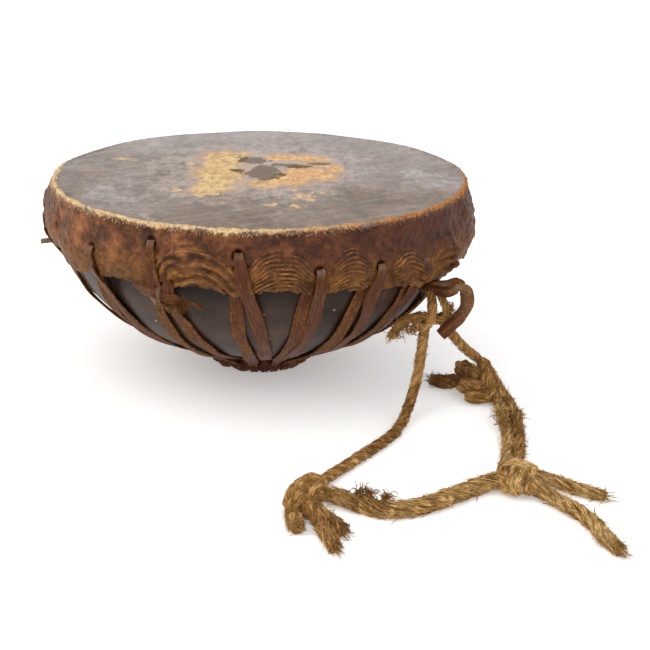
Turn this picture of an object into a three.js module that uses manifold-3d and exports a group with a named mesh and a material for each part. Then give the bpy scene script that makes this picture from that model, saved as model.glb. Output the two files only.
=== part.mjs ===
// Ceremonial kettledrum: an iron bowl under a laced hide head, standing on a twisted hide ring,
// with a hide carry loop and a knotted hemp rope that lies in front of it.
// Millimetres, +Z up, the front towards -Y, the origin on the floor under the drum's axis.
// Angles go round the axis in degrees from the front, positive towards +X, and depths are
// measured down from the top of the head.
import * as THREE from 'three';
import { mergeVertices } from 'three/addons/utils/BufferGeometryUtils.js';
import Module from 'manifold-3d';

const wasm = await Module();
wasm.setup();

// Head and bowl
const HEAD_RADIUS = 150;
const HEAD_TOP = 142;
const HIDE = 2.2;
const HEM_DEPTH = 40;
const HEM_DIP = 2.5;
const GATHER = 1.6;
const BOWL_RADIUS = HEAD_RADIUS - 2.7;
const BOWL_DEPTH = 130;
const BOWL_WALL = 2;
const BOWL_SHOULDER = 2.7;
const BOWL_BELLY = 1.75;
const RIM_DEPTH = HIDE + 0.3;
const HEAD_FACETS = 60;
const BOWL_FACETS = 36;
const BOWL_STEPS = 9;

// Flare of the skirt: depth, and outer radius beyond the head's radius
const SKIRT = [[2.6, 0], [10, 2], [26, 4.5], [33, 3.8], [HEM_DEPTH, 1.2]];

// Base ring
const RING_RADIUS = 30.5;
const RING_TUBE = 7.6;
const RING_FOOT = 2.4;
const RING_FACETS = 28;
const RING_SIDES = 9;

// Lacing: the holes seen in front as angle and depth, the rest evenly spaced behind
const FRONT_HOLES = [[-61.7, 20.1], [-42.9, 23.6], [-24.2, 11.2], [-2.4, 14.7],
  [16.9, 26.5], [33, 27.6], [47.5, 30], [64.7, 30.1]];
const BACK_HOLES = 12;
const BACK_HOLE_DEPTH = 21;
const BACK_HOLE_STRAY = 5;
const BACK_HOLE_BEAT = 2.3;
const HOLE_CLEAR = 1;
const HOLE_CUT = 12;
const OPEN_SLIT = 0;
const LACE_THICK = 1.8;
const LACE_GAP = 0.45;
const BOWL_GAP = 1.2;
const SKIRT_GAP = 0.9;
const OUTER_WIDTH = 8;
const INNER_WIDTH = 6.8;
const BEND_WIDTH = 5;
const FOOT_WIDTH = 3.6;
const TAPER_RUN = 0.65 * HEAD_RADIUS;
const WIDEN_RATE = 8;
const LEG_STEP = 14;

// Swing of the legs round the drum in degrees, at shares of the drop from their hole
const SWING_SHARE = [0, 0.18, 0.35, 0.65, 1];
const PLAIN_SWING = { outer: [0, 0.5, 1.1, 3.6, 7.5], inner: [0, -2.4, -2.9, -2.4, -1.4] };
const FRONT_SWING = {
  2: { outer: [0, 1, 4.4, 9, 10], inner: [0, -0.8, -1.1, -1, -1.1] },
  3: { outer: [0, 2.4, 4.6, 7.5, 9.4], inner: [0, -1.1, -0.9, 0.9, -2.4] },
  4: { outer: [0, 0.4, 0.6, -0.4, 8], inner: [0, -3, -3.6, -4.6, 1.4] },
  5: { outer: [0, -0.4, 1.2, 1.4, 6], inner: [0, -4, -4.6, -5.5, -1] },
};

// Knot and cut end of the lacing
const KNOTTED_HOLE = 2;
const KNOT_DEPTH = 50;
const KNOT_RADII = [13, 5.5, 11];
const KNOT_LIFT = 3;
const KNOT_LEAF = { route: [[-4, 0, 2], [-12, 3, 5], [-21, 5, 7]], width: 8 };
const KNOT_WING = { route: [[4, 0, 2], [10, 2, 7], [14, 4, 14]], width: 7 };
const KNOT_END_THICK = 4.4;
const CUT_END = { angle: -86, depth: 48, from: 144.5, to: 157.5, width: 5, thick: 3.2 };

// Carry loop and rope
const STRAP_WIDTH = 9;
const STRAP_THICK = 7;
const ROPE = 7.6;
const FRAYED_ROPE = 10;
const STRAND = 7.4;
const STRANDS_APART = 7.9;
const TAIL = 9;
const STUB = 10;
const FRAY = 11;
const LOOP_ROUTE = [[114, -84, 86], [122, -90, 86], [131, -97, 87.5], [137.5, -99.5, 92],
  [142.5, -100.5, 89], [143.5, -101.5, 80], [139, -103, 72], [132, -105, 65], [126.5, -106, 59.5]];
const FRONT_ROUTE = [[115.5, -102.5, 58.5], [114.2, -103.5, 44], [112, -105.5, 28],
  [108.5, -110, 14.5], [104.5, -119, 6.4], [101, -129, 4], [95, -145, 4],
  [85.6, -160.6, 4], [69, -184.6, 4], [54.5, -206, 4], [44.4, -221, 5.6]];
const NEAR_ROUTE = [[48.8, -232.4, 6.5], [58, -238, 5.6], [70.9, -245.4, 5.2], [89.5, -252, 5.2],
  [109.2, -245.3, 5.2], [128.1, -232.2, 5.2], [145, -219.5, 5.4], [156, -215.5, 6.2]];
const SIDE_ROUTE = [[168.3, -202.2, 4.8], [169.2, -184, 3.9], [174, -150, 3.9], [176, -115, 3.9],
  [172.5, -90, 3.9], [166.5, -73, 4.6]];
const BACK_ROUTE = [[159.5, -52, 21], [149, -64, 33], [138.5, -78, 48], [126.2, -93.6, 68.8]];
const UPPER_TAIL = [[173, -212.5, 8], [192, -214, 4.8], [203, -219.5, 4.7], [215.7, -228, 4.7]];
const LOWER_TAIL = [[172, -219, 8], [188, -233, 4.8], [199.6, -251, 4.7], [212, -290, 4.7]];
const KNOT_LEFT = { at: [37, -230, 10], radii: [11, 11, 9] };
const LEFT_TURNS = [{ at: [37, -229.5, 10.8], radius: 6.5, tube: 4.2, along: [0.5, -0.85, 0.15] },
  { at: [36, -231, 10.8], radius: 6.5, tube: 4.2, along: [0.85, 0.4, 0.5] }];
const STUB_ROUTE = [[35, -236, 7], [31.5, -250, 5.2], [30.5, -266, 5.2]];
const FRAY_ROUTE = [[40, -236, 8], [46, -258, 5.8], [52, -287, 5.8]];
const KNOT_RIGHT = { at: [167.5, -213.5, 9.6], radii: [12, 11, 8.5] };
const RIGHT_TURNS = [{ at: [165, -212, 10.4], radius: 6.2, tube: 4.2, along: [0.95, 0.1, 0.2] },
  { at: [170, -216, 10.4], radius: 6.2, tube: 4.2, along: [0.6, -0.75, 0.3] }];
const KNOT_MIDDLE = { at: [149, -58, 10], radii: [10.5, 12, 10] };
const MIDDLE_WRAP = { at: [163, -63, 9.4], radii: [8.5, 9.5, 9.4] };
const MIDDLE_STEM = [[160.6, -50.7, 19.7], [164.2, -48.2, 15.2], [165.5, -53, 11], [163, -62, 9.4]];
const DARK_END_ROUTE = [[149, -58, 8], [140, -57, 7], [131.5, -59.5, 6]];
const TIE_KNOT = { at: [113.5, -100.5, 69], radii: [11, 9, 9.5] };
const TIE_TURN = { at: [127, -93.8, 86.6], radius: 10.2, tube: 3.4, along: [9, -7, 1.5] };
const TIE_STEM = [[114, -100, 69], [121, -97.5, 71], [127, -94, 75.5]];

const IRON = new THREE.MeshStandardMaterial({ color: 0x3b3735, roughness: 0.5, metalness: 0.6 });
const HEAD_HIDE = new THREE.MeshStandardMaterial({ color: 0x6b4a38, roughness: 0.6 });
const THONG_HIDE = new THREE.MeshStandardMaterial({ color: 0x6a3c22, roughness: 0.6 });
const HEMP = new THREE.MeshStandardMaterial({ color: 0x96692f, roughness: 0.9 });

const { sin, cos, PI } = Math;
const lerp = THREE.MathUtils.lerp;
const toRadians = THREE.MathUtils.degToRad;
const drum = new THREE.Group();

function addPiece(name, geometry, material) {
  const mesh = new THREE.Mesh(geometry, material);
  mesh.name = name;
  drum.add(mesh);
}

function toSolid(geometry) {
  const bare = geometry.clone();
  bare.deleteAttribute('normal');
  bare.deleteAttribute('uv');
  const merged = mergeVertices(bare, 1e-4);
  return new wasm.Manifold(new wasm.Mesh({
    numProp: 3,
    vertProperties: new Float32Array(merged.attributes.position.array),
    triVerts: new Uint32Array(merged.index.array),
  }));
}

function toGeometry(solid) {
  const mesh = solid.getMesh();
  const geometry = new THREE.BufferGeometry();
  geometry.setAttribute('position', new THREE.BufferAttribute(mesh.vertProperties, 3));
  geometry.setIndex(new THREE.BufferAttribute(mesh.triVerts, 1));
  return geometry;
}

function join(...geometries) {
  const [first, ...rest] = geometries.map(toSolid);
  return toGeometry(rest.reduce((whole, piece) => whole.add(piece), first));
}

// Place on the drum: radius, angle in degrees and height
function around(radius, angle, z) {
  const turn = toRadians(angle);
  return new THREE.Vector3(radius * sin(turn), -radius * cos(turn), z);
}

// Body of revolution about the drum's axis from a closed profile of radius and height
function lathe(profile, segments) {
  const points = profile.map(([radius, z]) => new THREE.Vector2(radius, z));
  return new THREE.LatheGeometry(points, segments).rotateX(PI / 2);
}

// Closed skin over a row of four-cornered sections
function loft(sections) {
  const positions = sections.flat().flatMap((corner) => corner.toArray());
  const index = [];
  for (let row = 0; row < sections.length - 1; row++) {
    for (let side = 0; side < 4; side++) {
      const a = 4 * row + side;
      const b = 4 * row + (side + 1) % 4;
      index.push(a, b, b + 4, a, b + 4, a + 4);
    }
  }
  const last = 4 * (sections.length - 1);
  index.push(0, 2, 1, 0, 3, 2, last, last + 1, last + 2, last, last + 2, last + 3);
  const geometry = new THREE.BufferGeometry();
  geometry.setAttribute('position', new THREE.Float32BufferAttribute(positions, 3));
  geometry.setIndex(index);
  return geometry;
}

// Round or oval section swept along a smooth route
function sweep(route, width, thick, steps, sides = 8) {
  const outline = [];
  for (let side = 0; side < sides; side++) {
    const turn = 2 * PI * (side + 0.5) / sides;
    outline.push(new THREE.Vector2(0.5 * width * cos(turn), 0.5 * thick * sin(turn)));
  }
  const path = new THREE.CatmullRomCurve3(route.map((point) => new THREE.Vector3(...point)));
  const options = { steps, extrudePath: path, bevelEnabled: false };
  return new THREE.ExtrudeGeometry(new THREE.Shape(outline), options);
}

// Rounded lump of a drawn-up knot
function lump({ at, radii }) {
  return new THREE.SphereGeometry(1, 9, 6).scale(...radii).translate(...at);
}

// One turn of rope in a knot, round the line that it is drawn along
function ropeTurn({ at, radius, tube, along }) {
  const tilt = new THREE.Quaternion();
  tilt.setFromUnitVectors(new THREE.Vector3(0, 0, 1), new THREE.Vector3(...along).normalize());
  return new THREE.TorusGeometry(radius, tube, 6, 9).applyQuaternion(tilt).translate(...at);
}

// Bowl: the outside is a super-ellipse in depth and radius, the inside the same less the wall
function bowlPoint(turn, wall) {
  const depth = (BOWL_DEPTH - wall) * sin(turn) ** (2 / BOWL_SHOULDER);
  const radius = (BOWL_RADIUS - wall) * Math.max(0, cos(turn)) ** (2 / BOWL_BELLY);
  return [radius, HEAD_TOP - depth];
}

function bowlRadius(depth) {
  return BOWL_RADIUS * (1 - (depth / BOWL_DEPTH) ** BOWL_SHOULDER) ** (1 / BOWL_BELLY);
}

function makeBowl() {
  const rimTurn = (wall) => Math.asin((RIM_DEPTH / (BOWL_DEPTH - wall)) ** (BOWL_SHOULDER / 2));
  const outside = [];
  const inside = [];
  for (let step = 0; step <= BOWL_STEPS; step++) {
    outside.push(bowlPoint(lerp(PI / 2, rimTurn(0), step / BOWL_STEPS), 0));
    inside.push(bowlPoint(lerp(rimTurn(BOWL_WALL), PI / 2, step / BOWL_STEPS), BOWL_WALL));
  }
  outside[0][0] = 0;
  inside[BOWL_STEPS][0] = 0;
  return lathe([...outside, ...inside], BOWL_FACETS);
}

// Lace holes all round, as angle and depth
function laceHoles() {
  const holes = FRONT_HOLES.map(([angle, depth]) => ({ angle, depth }));
  const last = holes[holes.length - 1].angle;
  const step = (holes[0].angle + 360 - last) / (BACK_HOLES + 1);
  for (let hole = 1; hole <= BACK_HOLES; hole++) {
    const depth = BACK_HOLE_DEPTH + BACK_HOLE_STRAY * sin(BACK_HOLE_BEAT * hole);
    holes.push({ angle: last + step * hole, depth });
  }
  return holes;
}

const HOLES = laceHoles();

// How far a place lies between two holes: 0 at a hole, 1 midway
function betweenHoles(angle) {
  const first = HOLES[0].angle;
  const turned = first + ((angle - first) % 360 + 360) % 360;
  for (let hole = 0; hole < HOLES.length; hole++) {
    const start = HOLES[hole].angle;
    const end = hole + 1 < HOLES.length ? HOLES[hole + 1].angle : first + 360;
    if (turned >= start && turned < end) return sin(PI * (turned - start) / (end - start)) ** 2;
  }
  return 0;
}

// Outer radius of the skirt at a hole, by depth
function skirtRadius(depth) {
  for (let row = 1; row < SKIRT.length; row++) {
    const [low, lowFlare] = SKIRT[row - 1];
    const [high, highFlare] = SKIRT[row];
    if (depth <= high) {
      return HEAD_RADIUS + lerp(lowFlare, highFlare, (depth - low) / (high - low));
    }
  }
  return HEAD_RADIUS + SKIRT[SKIRT.length - 1][1];
}

// Drumhead: a turned hide cap, gathered between the holes, its hem lower at them
function makeDrumhead() {
  const outside = [[0, 0], [HEAD_RADIUS - 2, 0], [HEAD_RADIUS - 0.4, 0.9]];
  SKIRT.forEach(([depth, flare]) => outside.push([HEAD_RADIUS + flare, depth]));
  const inside = SKIRT.slice(1).map(([depth, flare]) => [HEAD_RADIUS + flare - HIDE, depth]);
  inside.reverse();
  inside.push([HEAD_RADIUS - HIDE - 0.1, HIDE], [0, HIDE]);
  const profile = [...outside, ...inside].map(([radius, depth]) => [radius, HEAD_TOP - depth]);
  const cap = lathe(profile.reverse(), HEAD_FACETS);
  const places = cap.attributes.position;
  for (let point = 0; point < places.count; point++) {
    const [x, y, z] = [places.getX(point), places.getY(point), places.getZ(point)];
    const depth = HEAD_TOP - z;
    const slack = Math.max(0, depth - RIM_DEPTH - 2) / HEM_DEPTH;
    const between = betweenHoles(THREE.MathUtils.radToDeg(Math.atan2(x, -y)));
    const swell = 1 + GATHER * between * slack / HEAD_RADIUS;
    const hem = HEAD_TOP - depth + HEM_DIP * slack ** 2 * (2 * between - 0.6);
    places.setXYZ(point, x * swell, y * swell, hem);
  }
  const bend = HIDE / 2 + LACE_GAP + LACE_THICK;
  const cuts = HOLES.map(({ angle, depth }) => {
    const height = bend + 1.5 * HOLE_CLEAR;
    const cut = new THREE.BoxGeometry(BEND_WIDTH + HOLE_CLEAR, HOLE_CUT, height);
    cut.translate(0, 0, height / 2 - HOLE_CLEAR).rotateZ(toRadians(angle));
    const middle = around(skirtRadius(depth) - HIDE / 2, angle, HEAD_TOP - depth);
    return cut.translate(...middle.toArray());
  });
  return toGeometry(cuts.reduce((hide, cut) => hide.subtract(toSolid(cut)), toSolid(cap)));
}

// Taut strip over a bulging body: keeps only the places that stand out, from top to bottom
function taut(places) {
  const kept = [];
  for (const place of places) {
    while (kept.length > 1) {
      const [a, b] = kept.slice(-2);
      const turn = (b.r - a.r) * (place.z - b.z) - (b.z - a.z) * (place.r - b.r);
      if (turn <= 0) break;
      kept.pop();
    }
    kept.push(place);
  }
  return kept;
}

// Bare bowl under a leg, from a depth down, then the side of the base ring
function overBowl(from) {
  const lift = BOWL_GAP + LACE_THICK / 2;
  const places = [];
  for (let depth = from; depth < BOWL_DEPTH - LEG_STEP / 2; depth += LEG_STEP) {
    places.push({ r: bowlRadius(depth) + lift, z: HEAD_TOP - depth - 0.4 * lift });
  }
  places.push({ r: RING_RADIUS + RING_TUBE + LACE_THICK, z: RING_TUBE + 1.2 });
  return places;
}

// Outer leg of a thong, from its hole over the skirt and the bowl to the base ring
function outerLeg({ depth }) {
  const lift = SKIRT_GAP + LACE_THICK / 2;
  const rows = SKIRT.map(([down]) => down).filter((down) => down > depth + 3);
  const places = rows.map((down) => ({ r: skirtRadius(down) + lift, z: HEAD_TOP - down }));
  const start = { r: skirtRadius(depth + 2) + lift, z: HEAD_TOP - depth - 2 };
  return taut([start, ...places, ...overBowl(HEM_DEPTH + 8)]);
}

// Inner leg, from behind the hole down between the skirt and the bowl
function innerLeg({ depth }) {
  const start = { r: skirtRadius(depth) - HIDE - LACE_GAP - LACE_THICK / 2, z: HEAD_TOP - depth };
  return [start, ...overBowl(HEM_DEPTH - 4)];
}

// Four corners of a strip at a place, its breadth round the drum
function stripSection({ r, z, angle, width }, normal) {
  const middle = around(r, angle, z);
  const side = around(1, angle + 90, 0).multiplyScalar(width / 2);
  const out = around(normal.x, angle, normal.y).multiplyScalar(LACE_THICK / 2);
  return [[-1, -1], [1, -1], [1, 1], [-1, 1]].map(([across, through]) => middle.clone()
    .addScaledVector(side, across)
    .addScaledVector(out, through));
}

// Swing of a leg at a share of its drop
function swingAt(swing, share) {
  const from = Math.min(SWING_SHARE.findLastIndex((mark) => mark <= share), SWING_SHARE.length - 2);
  const part = (share - SWING_SHARE[from]) / (SWING_SHARE[from + 1] - SWING_SHARE[from]);
  return lerp(swing[from], swing[from + 1], part);
}

// Thong: up the inner leg, through the hole round its lower edge and down the outer leg
function makeLace(hole, index) {
  const swing = FRONT_SWING[index] ?? PLAIN_SWING;
  const narrow = (r, width) => lerp(FOOT_WIDTH, width,
    Math.min(1, (r - RING_RADIUS - RING_TUBE) / TAPER_RUN));
  const reach = (z, top) => (HEAD_TOP - top - z) / (HEAD_TOP - top);
  const inner = innerLeg(hole).map(({ r, z }) => {
    const down = reach(z, hole.depth);
    const under = Math.min(1, down * HEAD_TOP / HEM_DEPTH);
    const width = Math.min(narrow(r, INNER_WIDTH), lerp(BEND_WIDTH, INNER_WIDTH, under));
    return { r, z, angle: hole.angle + swingAt(swing.inner, down), width };
  });
  const outer = outerLeg(hole).map(({ r, z }) => {
    const down = reach(z, hole.depth);
    const width = lerp(BEND_WIDTH, OUTER_WIDTH, Math.min(1, WIDEN_RATE * down));
    return { r, z, angle: hole.angle + swingAt(swing.outer, down), width: narrow(r, width) };
  });
  const bend = [];
  const middle = skirtRadius(hole.depth) - HIDE / 2;
  const radius = HIDE / 2 + LACE_GAP + LACE_THICK / 2;
  for (let turn = 45; turn <= 180; turn += 45) {
    const rise = toRadians(180 - turn);
    const place = { r: middle + radius * cos(rise), z: HEAD_TOP - hole.depth + radius * sin(rise) };
    bend.push({ ...place, angle: hole.angle, width: BEND_WIDTH });
  }
  const path = inner.reverse().concat(index === OPEN_SLIT ? [] : [...bend, ...outer]);
  return loft(path.map((place, step) => {
    const before = path[Math.max(0, step - 1)];
    const after = path[Math.min(path.length - 1, step + 1)];
    const run = new THREE.Vector2(after.r - before.r, after.z - before.z).normalize();
    return stripSection(place, new THREE.Vector2(-run.y, run.x));
  }));
}

// Knot in the lacing: a drawn-up lump with two pointed ends, on the outer leg of its thong
function makeLaceKnot() {
  const hole = HOLES[KNOTTED_HOLE];
  const z = HEAD_TOP - KNOT_DEPTH;
  const leg = outerLeg(hole);
  const below = leg.findIndex((place) => place.z < z);
  const [a, b] = [leg[below - 1], leg[below]];
  const radius = lerp(a.r, b.r, (a.z - z) / (a.z - b.z)) + LACE_THICK + KNOT_RADII[1] + KNOT_LIFT;
  const local = (across, out, up) => around(radius + out, hole.angle, z + up)
    .addScaledVector(around(1, hole.angle + 90, 0), across).toArray();
  const body = new THREE.SphereGeometry(1, 10, 7).scale(...KNOT_RADII);
  body.rotateZ(toRadians(hole.angle)).translate(...local(1, 0, 0));
  const ends = [KNOT_LEAF, KNOT_WING].map(({ route, width }) =>
    sweep(route.map((place) => local(...place)), KNOT_END_THICK, width, 3, 6));
  return join(body, ...ends);
}

// Cut end of a thong, standing out from under the hem
function makeCutEnd() {
  const { angle, depth, from, to, width, thick } = CUT_END;
  const route = [from, (from + to) / 2, to].map((radius, step) =>
    around(radius, angle, HEAD_TOP - depth - step).toArray());
  return sweep(route, thick, width, 2, 6);
}

// Base ring: a round section with a flat foot, turned about the axis
function makeBaseRing() {
  const profile = [];
  const start = Math.asin(RING_FOOT / RING_TUBE);
  for (let side = 0; side < RING_SIDES; side++) {
    const turn = lerp(start, 2 * PI - start, side / (RING_SIDES - 1));
    const z = RING_TUBE * (cos(start) - cos(turn));
    profile.push([RING_RADIUS + RING_TUBE * sin(turn), z]);
  }
  profile.push(profile[0]);
  return lathe(profile, RING_FACETS);
}

// Route moved sideways on the floor
function beside(route, shift) {
  return route.map(([x, y, z], step) => {
    const before = route[Math.max(0, step - 1)];
    const after = route[Math.min(route.length - 1, step + 1)];
    const run = new THREE.Vector2(after[0] - before[0], after[1] - before[1]).normalize();
    return [x - run.y * shift, y + run.x * shift, z];
  });
}

addPiece('bowl', makeBowl(), IRON);
addPiece('drumhead', makeDrumhead(), HEAD_HIDE);
addPiece('base_ring', makeBaseRing(), THONG_HIDE);
HOLES.forEach((hole, index) => {
  addPiece(`lace_${String(index + 1).padStart(2, '0')}`, makeLace(hole, index), THONG_HIDE);
});
addPiece('lace_knot', makeLaceKnot(), THONG_HIDE);
addPiece('lace_end', makeCutEnd(), THONG_HIDE);
addPiece('carry_loop', sweep(LOOP_ROUTE, STRAP_WIDTH, STRAP_THICK, 15), THONG_HIDE);
addPiece('tie_knot', join(lump(TIE_KNOT), ropeTurn(TIE_TURN), sweep(TIE_STEM, ROPE, ROPE, 3)), HEMP);
addPiece('rope_front', sweep(FRONT_ROUTE, ROPE, ROPE, 16), HEMP);
addPiece('knot_left', join(lump(KNOT_LEFT), ...LEFT_TURNS.map(ropeTurn),
  sweep(STUB_ROUTE, STUB, STUB, 3), sweep(FRAY_ROUTE, FRAY, FRAY, 4)), HEMP);
addPiece('rope_near', sweep(NEAR_ROUTE, FRAYED_ROPE, FRAYED_ROPE, 12), HEMP);
addPiece('knot_right', join(lump(KNOT_RIGHT), ...RIGHT_TURNS.map(ropeTurn),
  sweep(UPPER_TAIL, TAIL, TAIL, 4), sweep(LOWER_TAIL, TAIL, TAIL, 6)), HEMP);
addPiece('rope_side_outer', sweep(beside(SIDE_ROUTE, STRANDS_APART / 2), STRAND, STRAND, 9), HEMP);
addPiece('rope_side_inner', sweep(beside(SIDE_ROUTE, -STRANDS_APART / 2), STRAND, STRAND, 9), HEMP);
addPiece('knot_middle', join(lump(KNOT_MIDDLE), lump(MIDDLE_WRAP),
  sweep(MIDDLE_STEM, ROPE, ROPE, 6), sweep(DARK_END_ROUTE, TAIL, TAIL, 3)), HEMP);
addPiece('rope_back', sweep(BACK_ROUTE, ROPE, ROPE, 6), HEMP);

export default drum;
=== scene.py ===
import bpy
import numpy as np
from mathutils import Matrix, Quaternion, Vector


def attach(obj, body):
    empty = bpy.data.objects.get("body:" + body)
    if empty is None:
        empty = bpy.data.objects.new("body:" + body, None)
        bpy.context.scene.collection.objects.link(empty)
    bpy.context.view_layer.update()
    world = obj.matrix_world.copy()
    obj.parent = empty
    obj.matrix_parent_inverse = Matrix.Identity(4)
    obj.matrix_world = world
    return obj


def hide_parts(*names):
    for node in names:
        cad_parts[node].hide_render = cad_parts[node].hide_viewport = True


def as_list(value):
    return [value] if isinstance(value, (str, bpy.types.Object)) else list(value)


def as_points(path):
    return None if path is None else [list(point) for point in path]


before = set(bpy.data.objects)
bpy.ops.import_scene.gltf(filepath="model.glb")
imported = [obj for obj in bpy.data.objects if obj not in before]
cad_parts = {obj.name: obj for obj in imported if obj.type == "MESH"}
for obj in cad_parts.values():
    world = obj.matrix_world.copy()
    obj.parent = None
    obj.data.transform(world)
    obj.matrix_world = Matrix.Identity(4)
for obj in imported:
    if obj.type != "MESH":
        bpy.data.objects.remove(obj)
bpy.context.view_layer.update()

# Camera: stands about a metre in front of the drum and looks down on it by some twenty degrees.
# The lens is a short portrait one, so the round head is drawn as a flat oval.
MM = 0.001
CAMERA_PLACE = Vector((48.6, -928.3, 371.6)) * MM
CAMERA_AIM = Vector((48.6, -11.4, 30)) * MM
CAMERA_ROLL = np.radians(0.93)
CAMERA_LENS = 72.2

camera = bpy.data.objects.new("camera", bpy.data.cameras.new("camera"))
camera.data.lens = CAMERA_LENS
camera.location = CAMERA_PLACE
camera.rotation_mode = "QUATERNION"
facing = (CAMERA_AIM - CAMERA_PLACE).to_track_quat("-Z", "Y")
camera.rotation_quaternion = facing @ Quaternion((0, 0, 1), CAMERA_ROLL)
bpy.context.scene.collection.objects.link(camera)
bpy.context.scene.camera = camera


# Bowl: the drum's kettle, raised from one piece of sheet iron and blackened by heat and handling.
# It is open at the top, where the hide is stretched over its rim, and stands on the base ring.
HEAD_TOP = 142 * MM
BOWL_RADIUS = 147.3 * MM
BOWL_DEPTH = 130 * MM
BOWL_WALL = 2 * MM
BOWL_SHOULDER = 2.7
BOWL_BELLY = 1.75
RIM_DEPTH = 2.5 * MM
BOWL_SIDES = 200
BOWL_ROWS = 64
BOWL_DENT = 0.3 * MM
BOWL_DENT_LENGTH = 34 * MM
# Heights of the strip of painted shade on the iron under the hide's hem
HEM_SHADE_FROM, HEM_SHADE_TO = 86 * MM, 99 * MM
POLE = 0.02


def linear(colour):
    """sRGB hex to linear RGBA: each channel c becomes ((c + 0.055) / 1.055) ^ 2.4, or c / 12.92 if dark."""
    channels = np.array([int(colour[i:i + 2], 16) for i in (1, 3, 5)]) / 255
    bright = ((channels + 0.055) / 1.055) ** 2.4
    return (*np.where(channels > 0.04045, bright, channels / 12.92).tolist(), 1.0)


def add_node(tree, kind, inputs, out=None, stops=(), **settings):
    """Adds a node: settings are its properties, inputs its sockets, set or linked, stops its colour ramp.
    Gives the output socket named out, or else the first one in use."""
    node = tree.nodes.new("ShaderNode" + kind)
    for key, value in settings.items():
        setattr(node, key, value)
    for key, value in inputs.items():
        if isinstance(value, bpy.types.NodeSocket):
            tree.links.new(value, node.inputs[key])
        else:
            node.inputs[key].default_value = value
    for index, (place, colour) in enumerate(stops):
        if index > 1:
            node.color_ramp.elements.new(place)
        node.color_ramp.elements[index].position = place
        node.color_ramp.elements[index].color = linear(colour)
    return node.outputs[out] if out else next(socket for socket in node.outputs if socket.enabled)


def start_material(name):
    """Empty node material: the material, its tree and the output node's surface socket."""
    material = bpy.data.materials.new(name)
    material.use_nodes = True
    material.node_tree.nodes.clear()
    output = material.node_tree.nodes.new("ShaderNodeOutputMaterial")
    return material, material.node_tree, output.inputs["Surface"]


def around(radius, angle, z):
    """Points at a radius, an angle in degrees from the front towards +X, and a height."""
    turn = np.radians(angle)
    radius, turn, z = np.broadcast_arrays(radius, turn, z)
    return np.stack([radius * np.sin(turn), -radius * np.cos(turn), z], -1)


def unit(vectors):
    """Vectors scaled to length one."""
    return vectors / (np.linalg.norm(vectors, axis=-1, keepdims=True) + 1e-12)


def ripple(points, length, seed, waves=16):
    """Smooth uneven field from about -1 to 1: a sum of sines of about one length in random directions."""
    rng = np.random.default_rng(seed)
    way = unit(rng.normal(size=(waves, 3))) * (2 * np.pi / length) * rng.uniform(0.6, 1.7, (waves, 1))
    return np.sin(points @ way.T + rng.uniform(0, 2 * np.pi, waves)).sum(-1) / np.sqrt(waves)


def add_tubes(name, skin, material, slot, **marks):
    """Piece made of closed tubes. skin[tube, row, side] are points round each row's section, anticlockwise
    about the way the rows run; quads join the rows and a fan to its middle closes each end.
    marks are point attributes on the same grid, numbers or vectors."""
    count, rows, sides = skin.shape[:3]

    def with_ends(values):
        """Grid values of each tube with the means of its first and last row put after them."""
        ends = np.stack([values[:, 0].mean(1), values[:, -1].mean(1)], 1)
        return np.concatenate([values.reshape(count, rows * sides, *values.shape[3:]), ends], 1)

    row, side = np.meshgrid(np.arange(rows - 1), np.arange(sides), indexing="ij")
    here, beside = row * sides + side, row * sides + (side + 1) % sides
    quads = np.stack([here, beside, beside + sides, here + sides], -1).reshape(-1, 4)
    ring = np.arange(sides)
    beside = np.roll(ring, -1)
    last = (rows - 1) * sides
    start = np.stack([beside, ring, np.full(sides, rows * sides)], 1)
    end = np.stack([last + ring, last + beside, np.full(sides, rows * sides + 1)], 1)
    first = (np.arange(count) * (rows * sides + 2))[:, None, None]
    faces = (quads + first).reshape(-1, 4).tolist()
    faces += (np.concatenate([start, end]) + first).reshape(-1, 3).tolist()
    mesh = bpy.data.meshes.new(name)
    mesh.from_pydata(with_ends(skin).reshape(-1, 3).tolist(), [], faces)
    mesh.shade_smooth()
    mesh.materials.append(material)
    for mark, values in marks.items():
        vector = np.ndim(values) == 4
        layer = mesh.attributes.new(mark, "FLOAT_VECTOR" if vector else "FLOAT", "POINT")
        full = with_ends(np.broadcast_to(values, skin.shape if vector else skin.shape[:3]))
        layer.data.foreach_set("vector" if vector else "value", full.astype(np.float32).ravel())
    piece = bpy.data.objects.new(name, mesh)
    bpy.context.scene.collection.objects.link(piece)
    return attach(piece, "root")


def bowl_radius(depth):
    """Radius of the bowl's outside at a depth under the head's top: a super-ellipse."""
    return BOWL_RADIUS * (1 - (depth / BOWL_DEPTH) ** BOWL_SHOULDER) ** (1 / BOWL_BELLY)


def bowl_profile(wall, rows):
    """Radius and height from the bottom to the rim: depth = D sin(t)^(2/a), radius = R cos(t)^(2/b)."""
    rim = np.arcsin((RIM_DEPTH / (BOWL_DEPTH - wall)) ** (BOWL_SHOULDER / 2))
    turn = np.linspace(np.pi / 2 - POLE, rim, rows)
    depth = (BOWL_DEPTH - wall) * np.sin(turn) ** (2 / BOWL_SHOULDER)
    return (BOWL_RADIUS - wall) * np.cos(turn) ** (2 / BOWL_BELLY), HEAD_TOP - depth


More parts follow.
